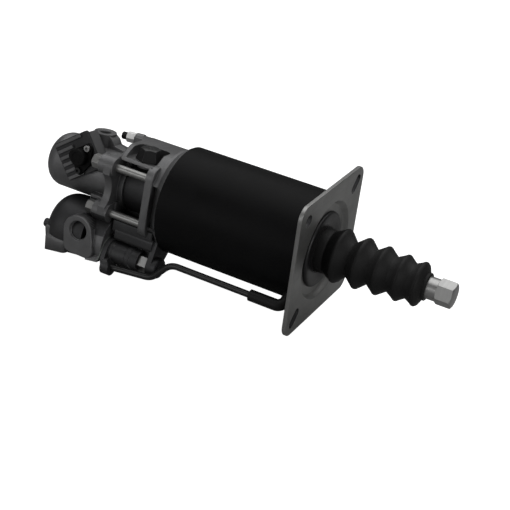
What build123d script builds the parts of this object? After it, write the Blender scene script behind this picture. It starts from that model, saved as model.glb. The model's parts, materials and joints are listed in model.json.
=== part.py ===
from build123d import *
import math
import os

# Clutch servo of a heavy vehicle, in millimetres. The origin is the centre of the mounting plate's
# front face, +X runs out of the plate along the push rod and +Z is up. The rear castings are clocked
# about X against the plate, so they are built in a frame of their own, where -Y is their front and
# +Z their top, and turned when they are written. In it a place is given as x, front, up.

# Mounting plate
PLATE_SIDE = 136.0
PLATE_THICKNESS = 4.0
PLATE_CORNER_RADIUS = 13.0
PLATE_CHAMFER = 0.5
HOLE_PITCH = 103.0
ROUND_HOLE_RADIUS = 6.0
SLOT_WIDTH = 10.5
SLOT_LENGTH = 21.0
DISH_RADIUS = 49.0
DISH_FLOOR_RADIUS = 46.0
DISH_FLOOR = -5.0
SPIGOT_END = -11.0

# Air cylinder
TUBE_RADIUS = 55.0
BORE_RADIUS = 51.0
TUBE_REAR = -158.5
TUBE_CHAMFER = 0.6
RUNNING_GAP = 0.05
RING_SECTION = 1.5
RING_WIDTH = 2.4
FRONT_GROOVE = -7.5
REAR_GROOVE = -154.5

# Front guide
RETAINER_RADIUS = 38.0
RETAINER_FRONT = -1.4
GUIDE_RADIUS = 20.0
GUIDE_REAR = -26.0
GUIDE_WALL = 6.0
ROD_SEAL_ENDS = (-17.0, -13.0)
ROD_SEAL_SECTION = 3.0

# Bellows, as (x, radius) of its peaks
BELLOWS_PEAKS = [(17.6, 27.0), (40.6, 25.5), (63.1, 24.0), (84.1, 22.7), (103.1, 21.7)]
BELLOWS_VALLEY_RADIUS = 17.5
BELLOWS_COLLAR_RADIUS = 22.0
BELLOWS_COLLAR_END = 6.0
BELLOWS_CUFF_RADIUS = 13.5
BELLOWS_CUFF_START = 109.5
BELLOWS_END = 112.5
BELLOWS_WALL = 2.4
BELLOWS_FOLD_RADIUS = 2.5
BELLOWS_FLANGE_RADIUS = 30.0
BELLOWS_FLANGE_FRONT = -3.0

# Push rod and its end
ROD_RADIUS = 10.0
ROD_THREAD_RADIUS = 8.0
ROD_FRONT = 112.5
ROD_REAR = -112.0
ROD_SPIGOT_RADIUS = 6.0
ROD_SPIGOT_END = 124.5
ROD_END_FACE = 132.0
ROD_END_HEX_FLAT = 22.0
ROD_END_HEX_START = 116.0
ROD_END_NECK_RADIUS = 10.8
ROD_END_TURN = 10.0

# Air piston and hydraulic plunger
PISTON_FRONT = -70.0
PISTON_REAR = -88.0
PISTON_RECESS = -80.0
PISTON_RADIUS = 50.4
PISTON_SEAL_ENDS = (-84.0, -78.0)
PISTON_SEAL_INNER = 46.5
PISTON_GUIDE_ENDS = (-76.5, -72.5)
PISTON_GUIDE_INNER = 49.0
NUT_REAR = -98.0
NUT_FLAT = 24.0
PLUNGER_RADIUS = 11.0
PLUNGER_REAR = -236.0
PLUNGER_SEAL_START = -233.0
PLUNGER_SEAL_LENGTH = 6.0
PLUNGER_SEAL_INNER = 8.0
PLUNGER_BUSH_RADIUS = 16.0
SPRING_RADIUS = 32.0
SPRING_WIRE_RADIUS = 1.8
SPRING_TURNS = 4.5
COIL_RUNS = 16

# Rear head, clocked against the plate
REAR_TURN = -8.0
HEAD_RADIUS = 49.0
HEAD_DOME_END = -166.0
HEAD_INNER_END = -148.0
CHAMBER_FLOOR = -162.0
ROOF_REAR = -217.8
ROOF_UNDERSIDE = 32.3
ROOF_TOP = 44.5
ROOF_ROUNDING = 2.0
POCKET_X = (-212.0, -177.0)
POCKET_SIDE = 5.0
POCKET_CORNER_RADIUS = 6.0
FLANGE_FRONT = -171.0
FLANGE_REAR = -179.0
FLANGE_HALF_WIDTH = 47.5
FLANGE_HALF_HEIGHT = 37.0
WEB_REAR = -164.5
WEB_FRONT = -159.0
BRACKET_REAR = -207.0
BRACKET_FRONT = -163.0
BRACKET_SIDES = (-14.0, 42.0)
BRACKET_HEIGHTS = (-49.5, -36.0)
BRACKET_ROUNDING = 4.0
TRANSFER_BOSS_RADIUS = 10.5
PLUG_X = -193.0
PLUG_FRONT = 20.5
PLUG_SEAT = 35.0
PLUG_FLAT = 24.0
PLUG_HEIGHT = 12.5
PLUG_SHANK_RADIUS = 8.0
PLUG_BOSS_RADIUS = 11.5
PLUG_BOSS_FOOT = 28.5

# Bleed screw, pointing rearwards and to the front
BLEED_X = -232.0
BLEED_FRONT = -16.0
BLEED_UP = 39.5
BLEED_TURN = 10.0
BLEED_NIPPLE_RADIUS = 2.6
BLEED_NIPPLE_UP = 11.7
BLEED_NIPPLE_LENGTH = 5.0
BLEED_RADIUS = 3.2
BLEED_HEX_FLAT = 10.0
BLEED_SEAT_RADIUS = 6.2
BLEED_SEAT_DEPTH = 8.0
BLEED_BLOCK_REAR = -229.0
BLEED_BLOCK_SIDES = (-30.0, -5.0)

# Long bolts and the lugs they pass through
BOLT_FRONT = 40.0
BOLT_UP = 24.0
BOLT_RADIUS = 4.0
BOLT_HEAD_FLAT = 13.0
BOLT_HEAD_HEIGHT = 8.0
BOLT_TIP = -172.0
WASHER_RADIUS = 8.2
WASHER_THICKNESS = 1.6
SPOT_FACE_RADIUS = 9.2
LUG_RADIUS = 9.8
LUG_START = -216.0
LUG_END = -233.0
LUG_PLATE_REAR = -226.0
LUG_PLATE_THICKNESS = 8.0
LUG_COLLAR_RADIUS = 31.5
LUG_COLLAR_REAR = -230.0

# Hydraulic cylinder and barrel
CYLINDER_RADIUS = 29.0
CYLINDER_REAR = -212.0
CYLINDER_SPIGOT_RADIUS = 22.0
CYLINDER_SPIGOT_REAR = -218.0
CYLINDER_GROOVE = -216.5
CYLINDER_GROOVE_WIDTH = 3.0
HYDRAULIC_BORE_END = -288.0
HYDRAULIC_BORE_RADIUS = 13.5
BARREL_RADIUS = 28.5
BARREL_REAR = -299.0
CAP_REAR = -310.0
CAP_SHANK_RADIUS = 20.0
CAP_SHANK_LENGTH = 8.0
HYDRAULIC_PORT_X = -260.0
HYDRAULIC_PORT_TOP = 41.5
HYDRAULIC_PORT_RADIUS = 5.5
HYDRAULIC_PORT_DEPTH = 14.0
HYDRAULIC_BOSS_RADIUS = 11.5
GUSSET_THICKNESS = 14.0
GASKET = 0.8

# Control valve below the barrel
BODY_FRONT = 20.0
BODY_UP = -59.5
BODY_RADIUS = 32.5
BODY_REAR = -281.5
BODY_END = -214.0
NECK_REAR = -246.0
SIGNAL_X = -232.0
VALVE_FRONT = 36.0
VALVE_UP = -64.0
VALVE_BORE_RADIUS = 9.0
VALVE_BORE_END = -272.0
COVER_RADIUS = 12.2
COVER_END = -177.5
COVER_BORE_RADIUS = 7.5
GUIDE_WALL_ENDS = (-203.0, -199.0)
GUIDE_HOLE_RADIUS = 2.5
END_SCREWS = [(36.0, -84.0), (17.0, -55.0)]
END_EAR_RADIUS = 5.0
END_FLANGE_THICKNESS = 5.0
SMALL_SCREW_RADIUS = 1.5
VALVE_PASSAGE_RADIUS = 3.5
CONTROL_SEAL_ENDS = (-263.0, -261.0)
CONTROL_SEAL_INNER = 7.4
TRANSFER_END = -163.5
BOSS_END = -152.0
BREATHER_FACE = -204.0
BREATHER_BOSS_RADIUS = 6.5
AIR_PORT_X = -241.0
AIR_PORT_UP = -47.5
AIR_PORT_FACE = 56.0
AIR_PORT_RADIUS = 10.25
AIR_PORT_DEPTH = 12.5
AIR_PORT_RIM = 0.8
AIR_BOSS_CIRCLES = [(0.0, 0.0, 15.6), (4.5, -11.0, 14.0)]
AIR_BOSS_DEPTH = 28.0

# Ribbed exhaust cover on the barrel's front, in its own plane along and across the ribs
EXHAUST_X = -268.0
EXHAUST_UP = 19.0
EXHAUST_TURN = 36.0
EXHAUST_SEAT = 28.8
EXHAUST_LENGTH = 44.0
EXHAUST_WIDTH = 40.0
EXHAUST_THICKNESS = 3.2
EXHAUST_HOLE = (-258.0, 13.0)
EXHAUST_DRILLING_X = -240.0
COVER_SCREWS = [(17.5, -2.5), (-3.3, 13.7)]
CAP_PLACE = (2.0, -0.8)
CAP_RADIUS = 6.6
CAP_FOOT = 3.2
CAP_STEM_RADIUS = 4.0
CAP_EAR_RADIUS = 4.7
CAP_CIRCLES = [(*CAP_PLACE, CAP_RADIUS), (9.0, 7.0, 7.0)] + [(a, b, CAP_EAR_RADIUS) for a, b in COVER_SCREWS]
CAP_SPOUT_HEIGHT = 8.0
SCREW_HEAD_RADIUS = 3.2
SCREW_HEAD_HEIGHT = 2.8
SCREW_LENGTH = 15.2
RIB_PITCH = 7.0
RIB_WIDTH = 3.2
RIB_HEIGHT = 2.0
RIB_START = -20.0

# Breather pipe, in the plane this far in front of the axis
PIPE_FRONT = 50.0
PIPE_RADIUS = 3.25
PIPE_BORE_RADIUS = 2.25
PIPE_ROUTE = [(-211.0, -75.0), (-153.5, -70.0), (-134.5, -48.7), (-20.0, -48.7)]
PIPE_BEND = 18.0
ELBOW_RADIUS = 5.75
ELBOW_START = -46.0
ELBOW_BEND = 8.0
NIPPLE_X = -11.0
NIPPLE_RADIUS = 3.0


def place(part, x=0.0, front=0.0, up=0.0):
    """Moves a shape to a place of the rear section."""
    return Pos(x, -front, up) * part


def rod_x(radius, start, end):
    """A cylinder on the X axis."""
    return Pos((start + end) / 2, 0, 0) * Rot(0, 90, 0) * Cylinder(radius, abs(end - start))


def ring_x(outer, inner, start, end):
    """A plain ring on the X axis."""
    return rod_x(outer, start, end) - rod_x(inner, start, end)


def rod_front(radius, face, depth):
    """A cylinder that runs rearwards from a front face, on the Y axis."""
    return Pos(0, -face + depth / 2, 0) * Rot(90, 0, 0) * Cylinder(radius, depth)


def block(x, front, up):
    """A box of the rear section between pairs of limits."""
    box = Box(abs(x[1] - x[0]), abs(front[1] - front[0]), abs(up[1] - up[0]))
    return place(box, sum(x) / 2, sum(front) / 2, sum(up) / 2)


def turned_solid(outline):
    """The solid of revolution about X of an outline of (x, radius) corners."""
    points = [(x, radius, 0) for x, radius in outline]
    return revolve(make_face(Polyline(*points, close=True)), Axis.X, 360)


def hexagon_x(flat, start, end, turn=0.0):
    """A hexagonal bar on the X axis with its corners turned down at both ends."""
    outline = Plane.YZ * RegularPolygon(flat / 2, 6, major_radius=False)
    bar = extrude(Pos(start, 0, 0) * Rot(turn, 0, 0) * outline, abs(end - start), dir=(1, 0, 0))
    corner = flat / math.sqrt(3)
    rim = flat / 2 * 0.98
    drop = (corner - rim) * 0.5
    corners = [(start, 0), (start, rim), (start + drop, corner), (end - drop, corner), (end, rim), (end, 0)]
    return bar & turned_solid(corners)


def hexagon_up(flat, height):
    """A hexagonal head standing on the origin, its top corners turned down."""
    return Rot(0, -90, 0) * hexagon_x(flat, 0, height)


def place_turned(part):
    """Turns a shape of the rear section into the row's frame."""
    return Rot(REAR_TURN, 0, 0) * part


def mounting_flange():
    """Square plate with a round dish, a spigot for the tube, two round holes and two slots."""
    outline = Plane.YZ * RectangleRounded(PLATE_SIDE, PLATE_SIDE, PLATE_CORNER_RADIUS)
    plate = extrude(outline, PLATE_THICKNESS, dir=(-1, 0, 0))
    plate = chamfer(plate.edges().filter_by(GeomType.LINE).filter_by(Plane.YZ), PLATE_CHAMFER)
    plate += rod_x(BORE_RADIUS, SPIGOT_END, -PLATE_THICKNESS)
    plate -= turned_solid([(1, 0), (1, DISH_RADIUS + 1.2), (0, DISH_RADIUS + 0.8), (-0.8, DISH_RADIUS),
                           (-PLATE_THICKNESS, DISH_FLOOR_RADIUS + 0.6), (DISH_FLOOR, DISH_FLOOR_RADIUS - 0.6),
                           (DISH_FLOOR, 0)])
    plate -= rod_x(GUIDE_RADIUS, SPIGOT_END - 1, 1)
    plate -= ring_x(BORE_RADIUS + 1, BORE_RADIUS - RING_SECTION, FRONT_GROOVE, FRONT_GROOVE + RING_WIDTH)
    plate -= nipple_place(Pos(0, 0, -9) * Cylinder(NIPPLE_RADIUS, 18))
    half = HOLE_PITCH / 2
    for y, z in ((-half, half), (half, -half)):
        plate -= Pos(0, y, z) * rod_x(ROUND_HOLE_RADIUS, -PLATE_THICKNESS - 1, 1)
    slot = Plane.YZ * Rot(0, 0, 45) * SlotOverall(SLOT_LENGTH, SLOT_WIDTH)
    slot = extrude(slot, PLATE_THICKNESS + 2, dir=(-1, 0, 0))
    for y, z in ((half, half), (-half, -half)):
        plate -= Pos(1, y, z) * slot
    return plate


def cylinder_tube():
    """Drawn steel tube between the plate and the rear head, with a hole for the breather nipple."""
    tube = ring_x(TUBE_RADIUS, BORE_RADIUS, TUBE_REAR, -PLATE_THICKNESS)
    rims = tube.edges().filter_by(GeomType.CIRCLE).filter_by(lambda e: e.radius > BORE_RADIUS + 1)
    tube = chamfer(rims, TUBE_CHAMFER)
    return tube - nipple_place(Cylinder(NIPPLE_RADIUS, 20))


def nipple_place(part):
    """Stands a shape on the tube's wall where the breather enters, pointing outwards."""
    front, up = PIPE_FRONT, PIPE_ROUTE[-1][1]
    away = math.hypot(front, up)
    y, z = -front / away, up / away
    wall = Plane(origin=(NIPPLE_X, y * TUBE_RADIUS, z * TUBE_RADIUS), x_dir=(1, 0, 0), z_dir=(0, y, z))
    return place_turned(wall.location * part)


def tube_nipple():
    """Short tube pressed into the wall of the air cylinder."""
    length = 11.0
    wall = TUBE_RADIUS - BORE_RADIUS
    pipe = Cylinder(NIPPLE_RADIUS, length) - Cylinder(NIPPLE_RADIUS - 1, length)
    return nipple_place(Pos(0, 0, length / 2 - wall) * pipe)


def tube_seals():
    """Rubber rings that seal the tube on the plate and on the rear head."""
    inner = BORE_RADIUS - RING_SECTION
    return [ring_x(BORE_RADIUS, inner, start, start + RING_WIDTH) for start in (FRONT_GROOVE, REAR_GROOVE)]


def bellows_retainer():
    """Pressed ring in the dish that holds the bellows' flange."""
    front, outer, inner = RETAINER_FRONT, RETAINER_RADIUS, BELLOWS_COLLAR_RADIUS + 1
    return turned_solid([(DISH_FLOOR, BELLOWS_FLANGE_RADIUS), (DISH_FLOOR, outer), (front - 1.8, outer),
                         (front - 0.5, outer - 0.5), (front, outer - 1.8), (front, inner),
                         (BELLOWS_FLANGE_FRONT, inner), (BELLOWS_FLANGE_FRONT, BELLOWS_FLANGE_RADIUS)])


def bellows():
    """Rubber bellows from the dish to the rod, its folds narrowing towards the rod's end."""
    wave = []
    for (x0, r0), (x1, _) in zip(BELLOWS_PEAKS, BELLOWS_PEAKS[1:]):
        wave += [(x0, r0), ((x0 + x1) / 2, BELLOWS_VALLEY_RADIUS)]
    wave.append(BELLOWS_PEAKS[-1])
    collar = (BELLOWS_COLLAR_END, BELLOWS_COLLAR_RADIUS - 1.0)
    outer = [collar] + wave + [(BELLOWS_CUFF_START, BELLOWS_CUFF_RADIUS)]
    inner = [(x, r - BELLOWS_WALL) for x, r in outer]
    inner[0] = (BELLOWS_COLLAR_END, GUIDE_RADIUS - 0.8)
    inner[-1] = (BELLOWS_CUFF_START - 1.0, ROD_RADIUS + RUNNING_GAP)
    outer_line = FilletPolyline(*[(x, r, 0) for x, r in outer], radius=BELLOWS_FOLD_RADIUS)
    inner_line = FilletPolyline(*[(x, r, 0) for x, r in inner], radius=BELLOWS_FOLD_RADIUS)
    base = [inner[0], (DISH_FLOOR, inner[0][1]), (DISH_FLOOR, BELLOWS_FLANGE_RADIUS),
            (BELLOWS_FLANGE_FRONT, BELLOWS_FLANGE_RADIUS), (BELLOWS_FLANGE_FRONT, BELLOWS_COLLAR_RADIUS),
            (BELLOWS_COLLAR_END - 2, BELLOWS_COLLAR_RADIUS), outer[0]]
    cuff = [outer[-1], (BELLOWS_END, BELLOWS_CUFF_RADIUS), (BELLOWS_END, inner[-1][1]), inner[-1]]
    base, cuff = (Polyline(*[(x, r, 0) for x, r in line]) for line in (base, cuff))
    outline = base.edges() + outer_line.edges() + cuff.edges() + inner_line.edges()
    return revolve(make_face(outline), Axis.X, 360)


def guide_bush():
    """Bush in the plate that guides the push rod, grooved for the rod's seal."""
    bore = ROD_RADIUS + RUNNING_GAP
    bush = ring_x(GUIDE_RADIUS, bore, SPIGOT_END, DISH_FLOOR)
    bush += ring_x(ROD_RADIUS + GUIDE_WALL, bore, GUIDE_REAR, SPIGOT_END)
    return bush - ring_x(bore + ROD_SEAL_SECTION, bore, *ROD_SEAL_ENDS)


def rod_seal():
    """Lip ring in the guide bush's groove."""
    bore = ROD_RADIUS + RUNNING_GAP
    return ring_x(bore + ROD_SEAL_SECTION, bore, *ROD_SEAL_ENDS)


def push_rod():
    """Ground steel rod with a threaded front end and a shouldered rear end."""
    rod = rod_x(ROD_RADIUS, PISTON_FRONT, ROD_FRONT) + rod_x(ROD_THREAD_RADIUS, ROD_REAR, PISTON_FRONT)
    return rod + rod_x(ROD_SPIGOT_RADIUS, ROD_FRONT, ROD_SPIGOT_END)


def rod_end():
    """Hexagonal end of the push rod, turned down to a neck beside the bellows."""
    bar = hexagon_x(ROD_END_HEX_FLAT, ROD_END_HEX_START, ROD_END_FACE, ROD_END_TURN)
    bar += rod_x(ROD_END_NECK_RADIUS, ROD_FRONT, ROD_END_HEX_START)
    return bar - rod_x(ROD_SPIGOT_RADIUS, ROD_FRONT, ROD_SPIGOT_END)


def air_piston():
    """Dished aluminium piston with a hub and grooves for its seal and guide ring."""
    rim = PISTON_RADIUS
    (seal_rear, seal_front), (guide_rear, guide_front) = PISTON_SEAL_ENDS, PISTON_GUIDE_ENDS
    rear_face = [(PISTON_REAR, ROD_THREAD_RADIUS), (PISTON_REAR, 22), (PISTON_RECESS, 24), (PISTON_RECESS, 42),
                 (PISTON_REAR, 45), (PISTON_REAR, rim - 1), (PISTON_REAR + 1, rim)]
    grooves = [(seal_rear, rim), (seal_rear, PISTON_SEAL_INNER), (seal_front, PISTON_SEAL_INNER),
               (seal_front, rim), (guide_rear, rim), (guide_rear, PISTON_GUIDE_INNER),
               (guide_front, PISTON_GUIDE_INNER), (guide_front, rim)]
    front_face = [(PISTON_FRONT - 1, rim), (PISTON_FRONT, rim - 1), (PISTON_FRONT, 45), (PISTON_FRONT - 4, 42),
                  (PISTON_FRONT - 4, 22), (PISTON_FRONT, 18), (PISTON_FRONT, ROD_THREAD_RADIUS)]
    return turned_solid(rear_face + grooves + front_face)


def piston_seal():
    """Lipped rubber ring of the air piston."""
    rim, inner = BORE_RADIUS - RUNNING_GAP, PISTON_SEAL_INNER
    rear, front = PISTON_SEAL_ENDS
    return turned_solid([(rear + 0.2, inner), (rear, 49.6), (rear + 0.2, rim), (rear + 1.4, rim),
                         (rear + 4, 49.2), (front, 49.2), (front, inner)])


def piston_guide_ring():
    """Plastic ring that keeps the air piston off the bore."""
    return ring_x(BORE_RADIUS - RUNNING_GAP, PISTON_GUIDE_INNER, *PISTON_GUIDE_ENDS)


def piston_nut():
    """Nut that holds the air piston on the rod."""
    return hexagon_x(NUT_FLAT, NUT_REAR, PISTON_REAR) - rod_x(ROD_THREAD_RADIUS, NUT_REAR, PISTON_REAR)


def coil(start, end, radius, wire_radius, turns):
    """A coil spring along X between two wire centres, its wire eight-sided and laid in short runs."""
    runs = round(turns * COIL_RUNS)
    points = []
    for number in range(runs + 1):
        share = number / runs
        angle = 2 * math.pi * turns * share
        points.append((start + (end - start) * share, radius * math.cos(angle), radius * math.sin(angle)))
    path = Polyline(*points)
    section = Plane(origin=path @ 0, z_dir=path % 0) * RegularPolygon(wire_radius, 8)
    return sweep(section, path=path, transition=Transition.RIGHT)


def return_spring():
    """Coil spring between the rear head and the air piston."""
    clear = SPRING_WIRE_RADIUS + 0.2
    return coil(CHAMBER_FLOOR + clear, PISTON_RECESS - clear, SPRING_RADIUS, SPRING_WIRE_RADIUS, SPRING_TURNS)


def hydraulic_plunger():
    """Hardened plunger from the rod's rear end into the hydraulic cylinder."""
    plunger = rod_x(PLUNGER_RADIUS, PLUNGER_REAR, NUT_REAR) - rod_x(ROD_THREAD_RADIUS, ROD_REAR, NUT_REAR)
    end = PLUNGER_SEAL_START + PLUNGER_SEAL_LENGTH
    return plunger - ring_x(PLUNGER_RADIUS, PLUNGER_SEAL_INNER, PLUNGER_SEAL_START, end)


def plunger_seal():
    """Cup seal at the plunger's rear end."""
    end = PLUNGER_SEAL_START + PLUNGER_SEAL_LENGTH
    return ring_x(HYDRAULIC_BORE_RADIUS - RUNNING_GAP, PLUNGER_SEAL_INNER, PLUNGER_SEAL_START, end)


def plunger_bush():
    """Bush in the rear head that guides the plunger."""
    return ring_x(PLUNGER_BUSH_RADIUS, PLUNGER_RADIUS + RUNNING_GAP, FLANGE_REAR, HEAD_DOME_END - 2)


def rear_head():
    """Cast head behind the tube: dome, clamping flange, roof with the plug's pocket, and lower bracket."""
    dome = turned_solid([(HEAD_INNER_END, 0), (HEAD_INNER_END, BORE_RADIUS), (TUBE_REAR, BORE_RADIUS),
                         (TUBE_REAR, 54.4), (-160.5, 53.4), (-162.6, 51.6), (-164.4, 50.0),
                         (HEAD_DOME_END, HEAD_RADIUS), (FLANGE_REAR, HEAD_RADIUS), (FLANGE_REAR, 0)])
    for side in (1, -1):
        dome -= block((FLANGE_REAR - 1, FLANGE_FRONT), (side * FLANGE_HALF_WIDTH, side * 60), (-60, 60))
    clamp = Plane.YZ * RectangleRounded(FLANGE_HALF_WIDTH * 2, FLANGE_HALF_HEIGHT * 2, 12.5)
    clamp = Pos(FLANGE_REAR, 0, 0) * extrude(clamp, FLANGE_FRONT - FLANGE_REAR, dir=(1, 0, 0))
    clamp = chamfer(clamp.edges().group_by(Axis.X)[-1], 0.8)
    roof = rod_x(HEAD_RADIUS, ROOF_REAR, FLANGE_REAR + 1)
    roof &= block((ROOF_REAR, FLANGE_REAR + 1), (-60, 60), (ROOF_UNDERSIDE, 60))
    roof = fillet(roof.edges().filter_by(GeomType.CIRCLE).sort_by(Axis.X)[0], ROOF_ROUNDING)
    bleed_block = rod_x(HEAD_RADIUS - 0.5, BLEED_BLOCK_REAR, ROOF_REAR + 3)
    bleed_block &= block((BLEED_BLOCK_REAR, ROOF_REAR + 3), BLEED_BLOCK_SIDES, (ROOF_UNDERSIDE, 60))
    pocket = block(POCKET_X, (POCKET_SIDE, 70), (PLUG_SEAT, 60))
    pocket = fillet(pocket.edges().filter_by(Axis.Z).sort_by(Axis.Y)[-2:], POCKET_CORNER_RADIUS)
    bracket = block((BRACKET_REAR, BRACKET_FRONT), BRACKET_SIDES, BRACKET_HEIGHTS)
    bracket = fillet(bracket.edges().filter_by(Axis.X), BRACKET_ROUNDING)
    boss = rod_x(TRANSFER_BOSS_RADIUS, TRANSFER_END, BOSS_END)
    boss = fillet(boss.edges().filter_by(GeomType.CIRCLE).sort_by(Axis.X)[-1], 3)
    boss = place(boss, 0, VALVE_FRONT, VALVE_UP)
    hang = (Pos(-VALVE_FRONT, VALVE_UP) * Circle(TRANSFER_BOSS_RADIUS)).edges()
    hang = make_hull(hang + (Pos(-12, -24) * Circle(20)).edges())
    hang = Pos(WEB_REAR, 0, 0) * extrude(Plane.YZ * hang, WEB_FRONT - WEB_REAR, dir=(1, 0, 0))
    head = dome + clamp
    head -= block((FLANGE_FRONT, WEB_REAR + 7), (38, 60), (-24, 20))
    plug_boss = Cylinder(PLUG_BOSS_RADIUS, PLUG_SEAT - PLUG_BOSS_FOOT)
    plug_boss = place(plug_boss, PLUG_X, PLUG_FRONT, (PLUG_SEAT + PLUG_BOSS_FOOT) / 2)
    head = head + roof + plug_boss + bleed_block + bracket + hang + boss - pocket
    head -= block((-240, HEAD_DOME_END - 3), (-60, 60), (ROOF_TOP, 70))
    head -= place(rod_x(TRANSFER_BOSS_RADIUS - 1, WEB_REAR - 1, TRANSFER_END), 0, VALVE_FRONT, VALVE_UP)
    head -= turned_solid([(HEAD_INNER_END, 0), (HEAD_INNER_END, 47), (CHAMBER_FLOOR + 2, 46),
                          (CHAMBER_FLOOR, 40), (CHAMBER_FLOOR, 0)])
    head -= rod_x(PLUNGER_BUSH_RADIUS, FLANGE_REAR, HEAD_INNER_END)
    head -= ring_x(BORE_RADIUS + 1, BORE_RADIUS - RING_SECTION, REAR_GROOVE, REAR_GROOVE + RING_WIDTH)
    head -= place(rod_x(4, TRANSFER_END, -156), 0, VALVE_FRONT, VALVE_UP)
    passage = Plane(origin=(-161.6, -VALVE_FRONT, VALVE_UP), z_dir=(0, VALVE_FRONT, -VALVE_UP)).location
    head -= passage * (Pos(0, 0, 15) * Cylinder(1.8, 30))
    for front, up in bolt_places():
        head -= place(rod_x(BOLT_RADIUS, FLANGE_REAR, BOLT_TIP), 0, front, up)
    head -= place(Cylinder(PLUG_SHANK_RADIUS, 8), PLUG_X, PLUG_FRONT, PLUG_SEAT)
    head -= bleed_place(Pos(0, 0, 10.5) * Cylinder(6.5, 20))
    for front in (BOLT_FRONT, -BOLT_FRONT):
        head -= place(rod_x(LUG_RADIUS + 0.5, ROOF_REAR - 1, LUG_START + 0.5), 0, front, BOLT_UP)
    head += bleed_place(Pos(0, 0, -BLEED_SEAT_DEPTH / 2) * Cylinder(BLEED_SEAT_RADIUS, BLEED_SEAT_DEPTH))
    hole = Cylinder(BLEED_RADIUS + RUNNING_GAP, BLEED_SEAT_DEPTH + 2)
    return head - bleed_place(Pos(0, 0, -BLEED_SEAT_DEPTH / 2) * hole)


def inlet_plug():
    """Hexagonal plug in the roof's pocket, with a centre dimple."""
    plug = hexagon_up(PLUG_FLAT, PLUG_HEIGHT) + Pos(0, 0, -2) * Cylinder(PLUG_SHANK_RADIUS, 4)
    plug -= Pos(0, 0, PLUG_HEIGHT) * Cone(1.0, 4.0, 3.0)
    return place(plug, PLUG_X, PLUG_FRONT, PLUG_SEAT)


def bleed_place(part):
    """Stands a shape on the bleed screw's seat, pointing out of it."""
    angle = math.radians(BLEED_TURN)
    away = (-math.cos(angle), -math.sin(angle), 0)
    return Plane(origin=(BLEED_X, -BLEED_FRONT, BLEED_UP), x_dir=(0, 0, 1), z_dir=away).location * part


def bleed_screw():
    """Bleed screw: shank, hexagon and nipple."""
    screw = Pos(0, 0, -3.5) * Cylinder(BLEED_RADIUS, 9.0) + Pos(0, 0, 0.9) * hexagon_up(BLEED_HEX_FLAT, 9)
    return bleed_place(screw + bleed_nipple())


def bleed_nipple():
    """The bleed screw's nipple, which its dust cap grips."""
    return Pos(0, 0, BLEED_NIPPLE_UP) * Cylinder(BLEED_NIPPLE_RADIUS, BLEED_NIPPLE_LENGTH)


def bleed_cap():
    """Rubber dust cap on the bleed screw's nipple."""
    cap = Pos(0, 0, 12.95) * Cylinder(3.9, 6.1)
    cap = fillet(cap.edges().filter_by(GeomType.CIRCLE).sort_by(Axis.Z)[-1], 1.5)
    return bleed_place(cap - bleed_nipple())


def hydraulic_cylinder():
    """Cast cylinder clamped between the rear head and the valve housing."""
    spigot = CYLINDER_SPIGOT_RADIUS
    cylinder = turned_solid([(FLANGE_REAR, HYDRAULIC_BORE_RADIUS), (FLANGE_REAR, CYLINDER_RADIUS),
                             (CYLINDER_REAR, CYLINDER_RADIUS), (CYLINDER_REAR, spigot),
                             (CYLINDER_SPIGOT_REAR, spigot), (CYLINDER_SPIGOT_REAR, HYDRAULIC_BORE_RADIUS)])
    groove_end = CYLINDER_GROOVE + CYLINDER_GROOVE_WIDTH
    return cylinder - ring_x(spigot, spigot - RING_SECTION, CYLINDER_GROOVE, groove_end)


def bolt_places():
    """The four places of the long bolts, as (front, up)."""
    return [(front, up) for front in (BOLT_FRONT, -BOLT_FRONT) for up in (BOLT_UP, -BOLT_UP)]


def long_bolts():
    """Four long hexagon bolts that clamp the valve housing to the rear head."""
    head_start = LUG_END - WASHER_THICKNESS
    bolt = hexagon_x(BOLT_HEAD_FLAT, head_start - BOLT_HEAD_HEIGHT, head_start)
    bolt += rod_x(BOLT_RADIUS, head_start, BOLT_TIP)
    return [place(bolt, 0, front, up) for front, up in bolt_places()]


def bolt_washers():
    """Flat washers under the long bolts' heads."""
    washer = ring_x(WASHER_RADIUS, BOLT_RADIUS, LUG_END - WASHER_THICKNESS, LUG_END)
    return [place(washer, 0, front, up) for front, up in bolt_places()]


def cylinder_seal():
    """Rubber ring between the hydraulic cylinder and the valve housing."""
    spigot = CYLINDER_SPIGOT_RADIUS
    return ring_x(spigot, spigot - RING_SECTION, CYLINDER_GROOVE, CYLINDER_GROOVE + RING_WIDTH)


def lug_plate():
    """Plate with four lugs that closes the hydraulic cylinder, scooped between the lugs."""
    corners = []
    for front, up in bolt_places():
        corners += (Pos(-front, up) * Circle(LUG_RADIUS)).edges()
    plate = extrude(Plane.YZ * make_hull(corners), LUG_PLATE_THICKNESS, dir=(1, 0, 0))
    plate = Pos(LUG_PLATE_REAR, 0, 0) * plate
    for front in (64, -64):
        plate -= place(rod_x(22, LUG_COLLAR_REAR, -210), 0, front, 0)
    plate -= block((LUG_COLLAR_REAR, -210), (-30.5, 30.5), (32, 50))
    for front, up in bolt_places():
        plate += place(rod_x(LUG_RADIUS, LUG_END, LUG_START), 0, front, up)
    return plate + rod_x(LUG_COLLAR_RADIUS, LUG_COLLAR_REAR, CYLINDER_REAR)


def valve_body():
    """The control valve's part of the housing, cut off aslant below."""
    body = turned_solid([(BODY_REAR, 0), (BODY_REAR, 21), (-280.3, 24.5), (-277.5, 28), (-273.5, 30.6),
                         (-268.5, 32.1), (-265.5, BODY_RADIUS), (BODY_END, BODY_RADIUS), (BODY_END, 0)])
    body = place(body, 0, BODY_FRONT, BODY_UP)
    corner = block((-284.5, -269), (4, 51), (-90, -56))
    corner = fillet(corner.edges().filter_by(Axis.Y), 3)
    corner = fillet(corner.edges().group_by(Axis.Y)[0], 1.5)
    body += corner
    below = Plane.XZ * make_face(Polyline((-300, -89.5), (-200, -75.5), (-200, -110), (-300, -110), close=True))
    return body - extrude(below, 90, both=True)


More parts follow.
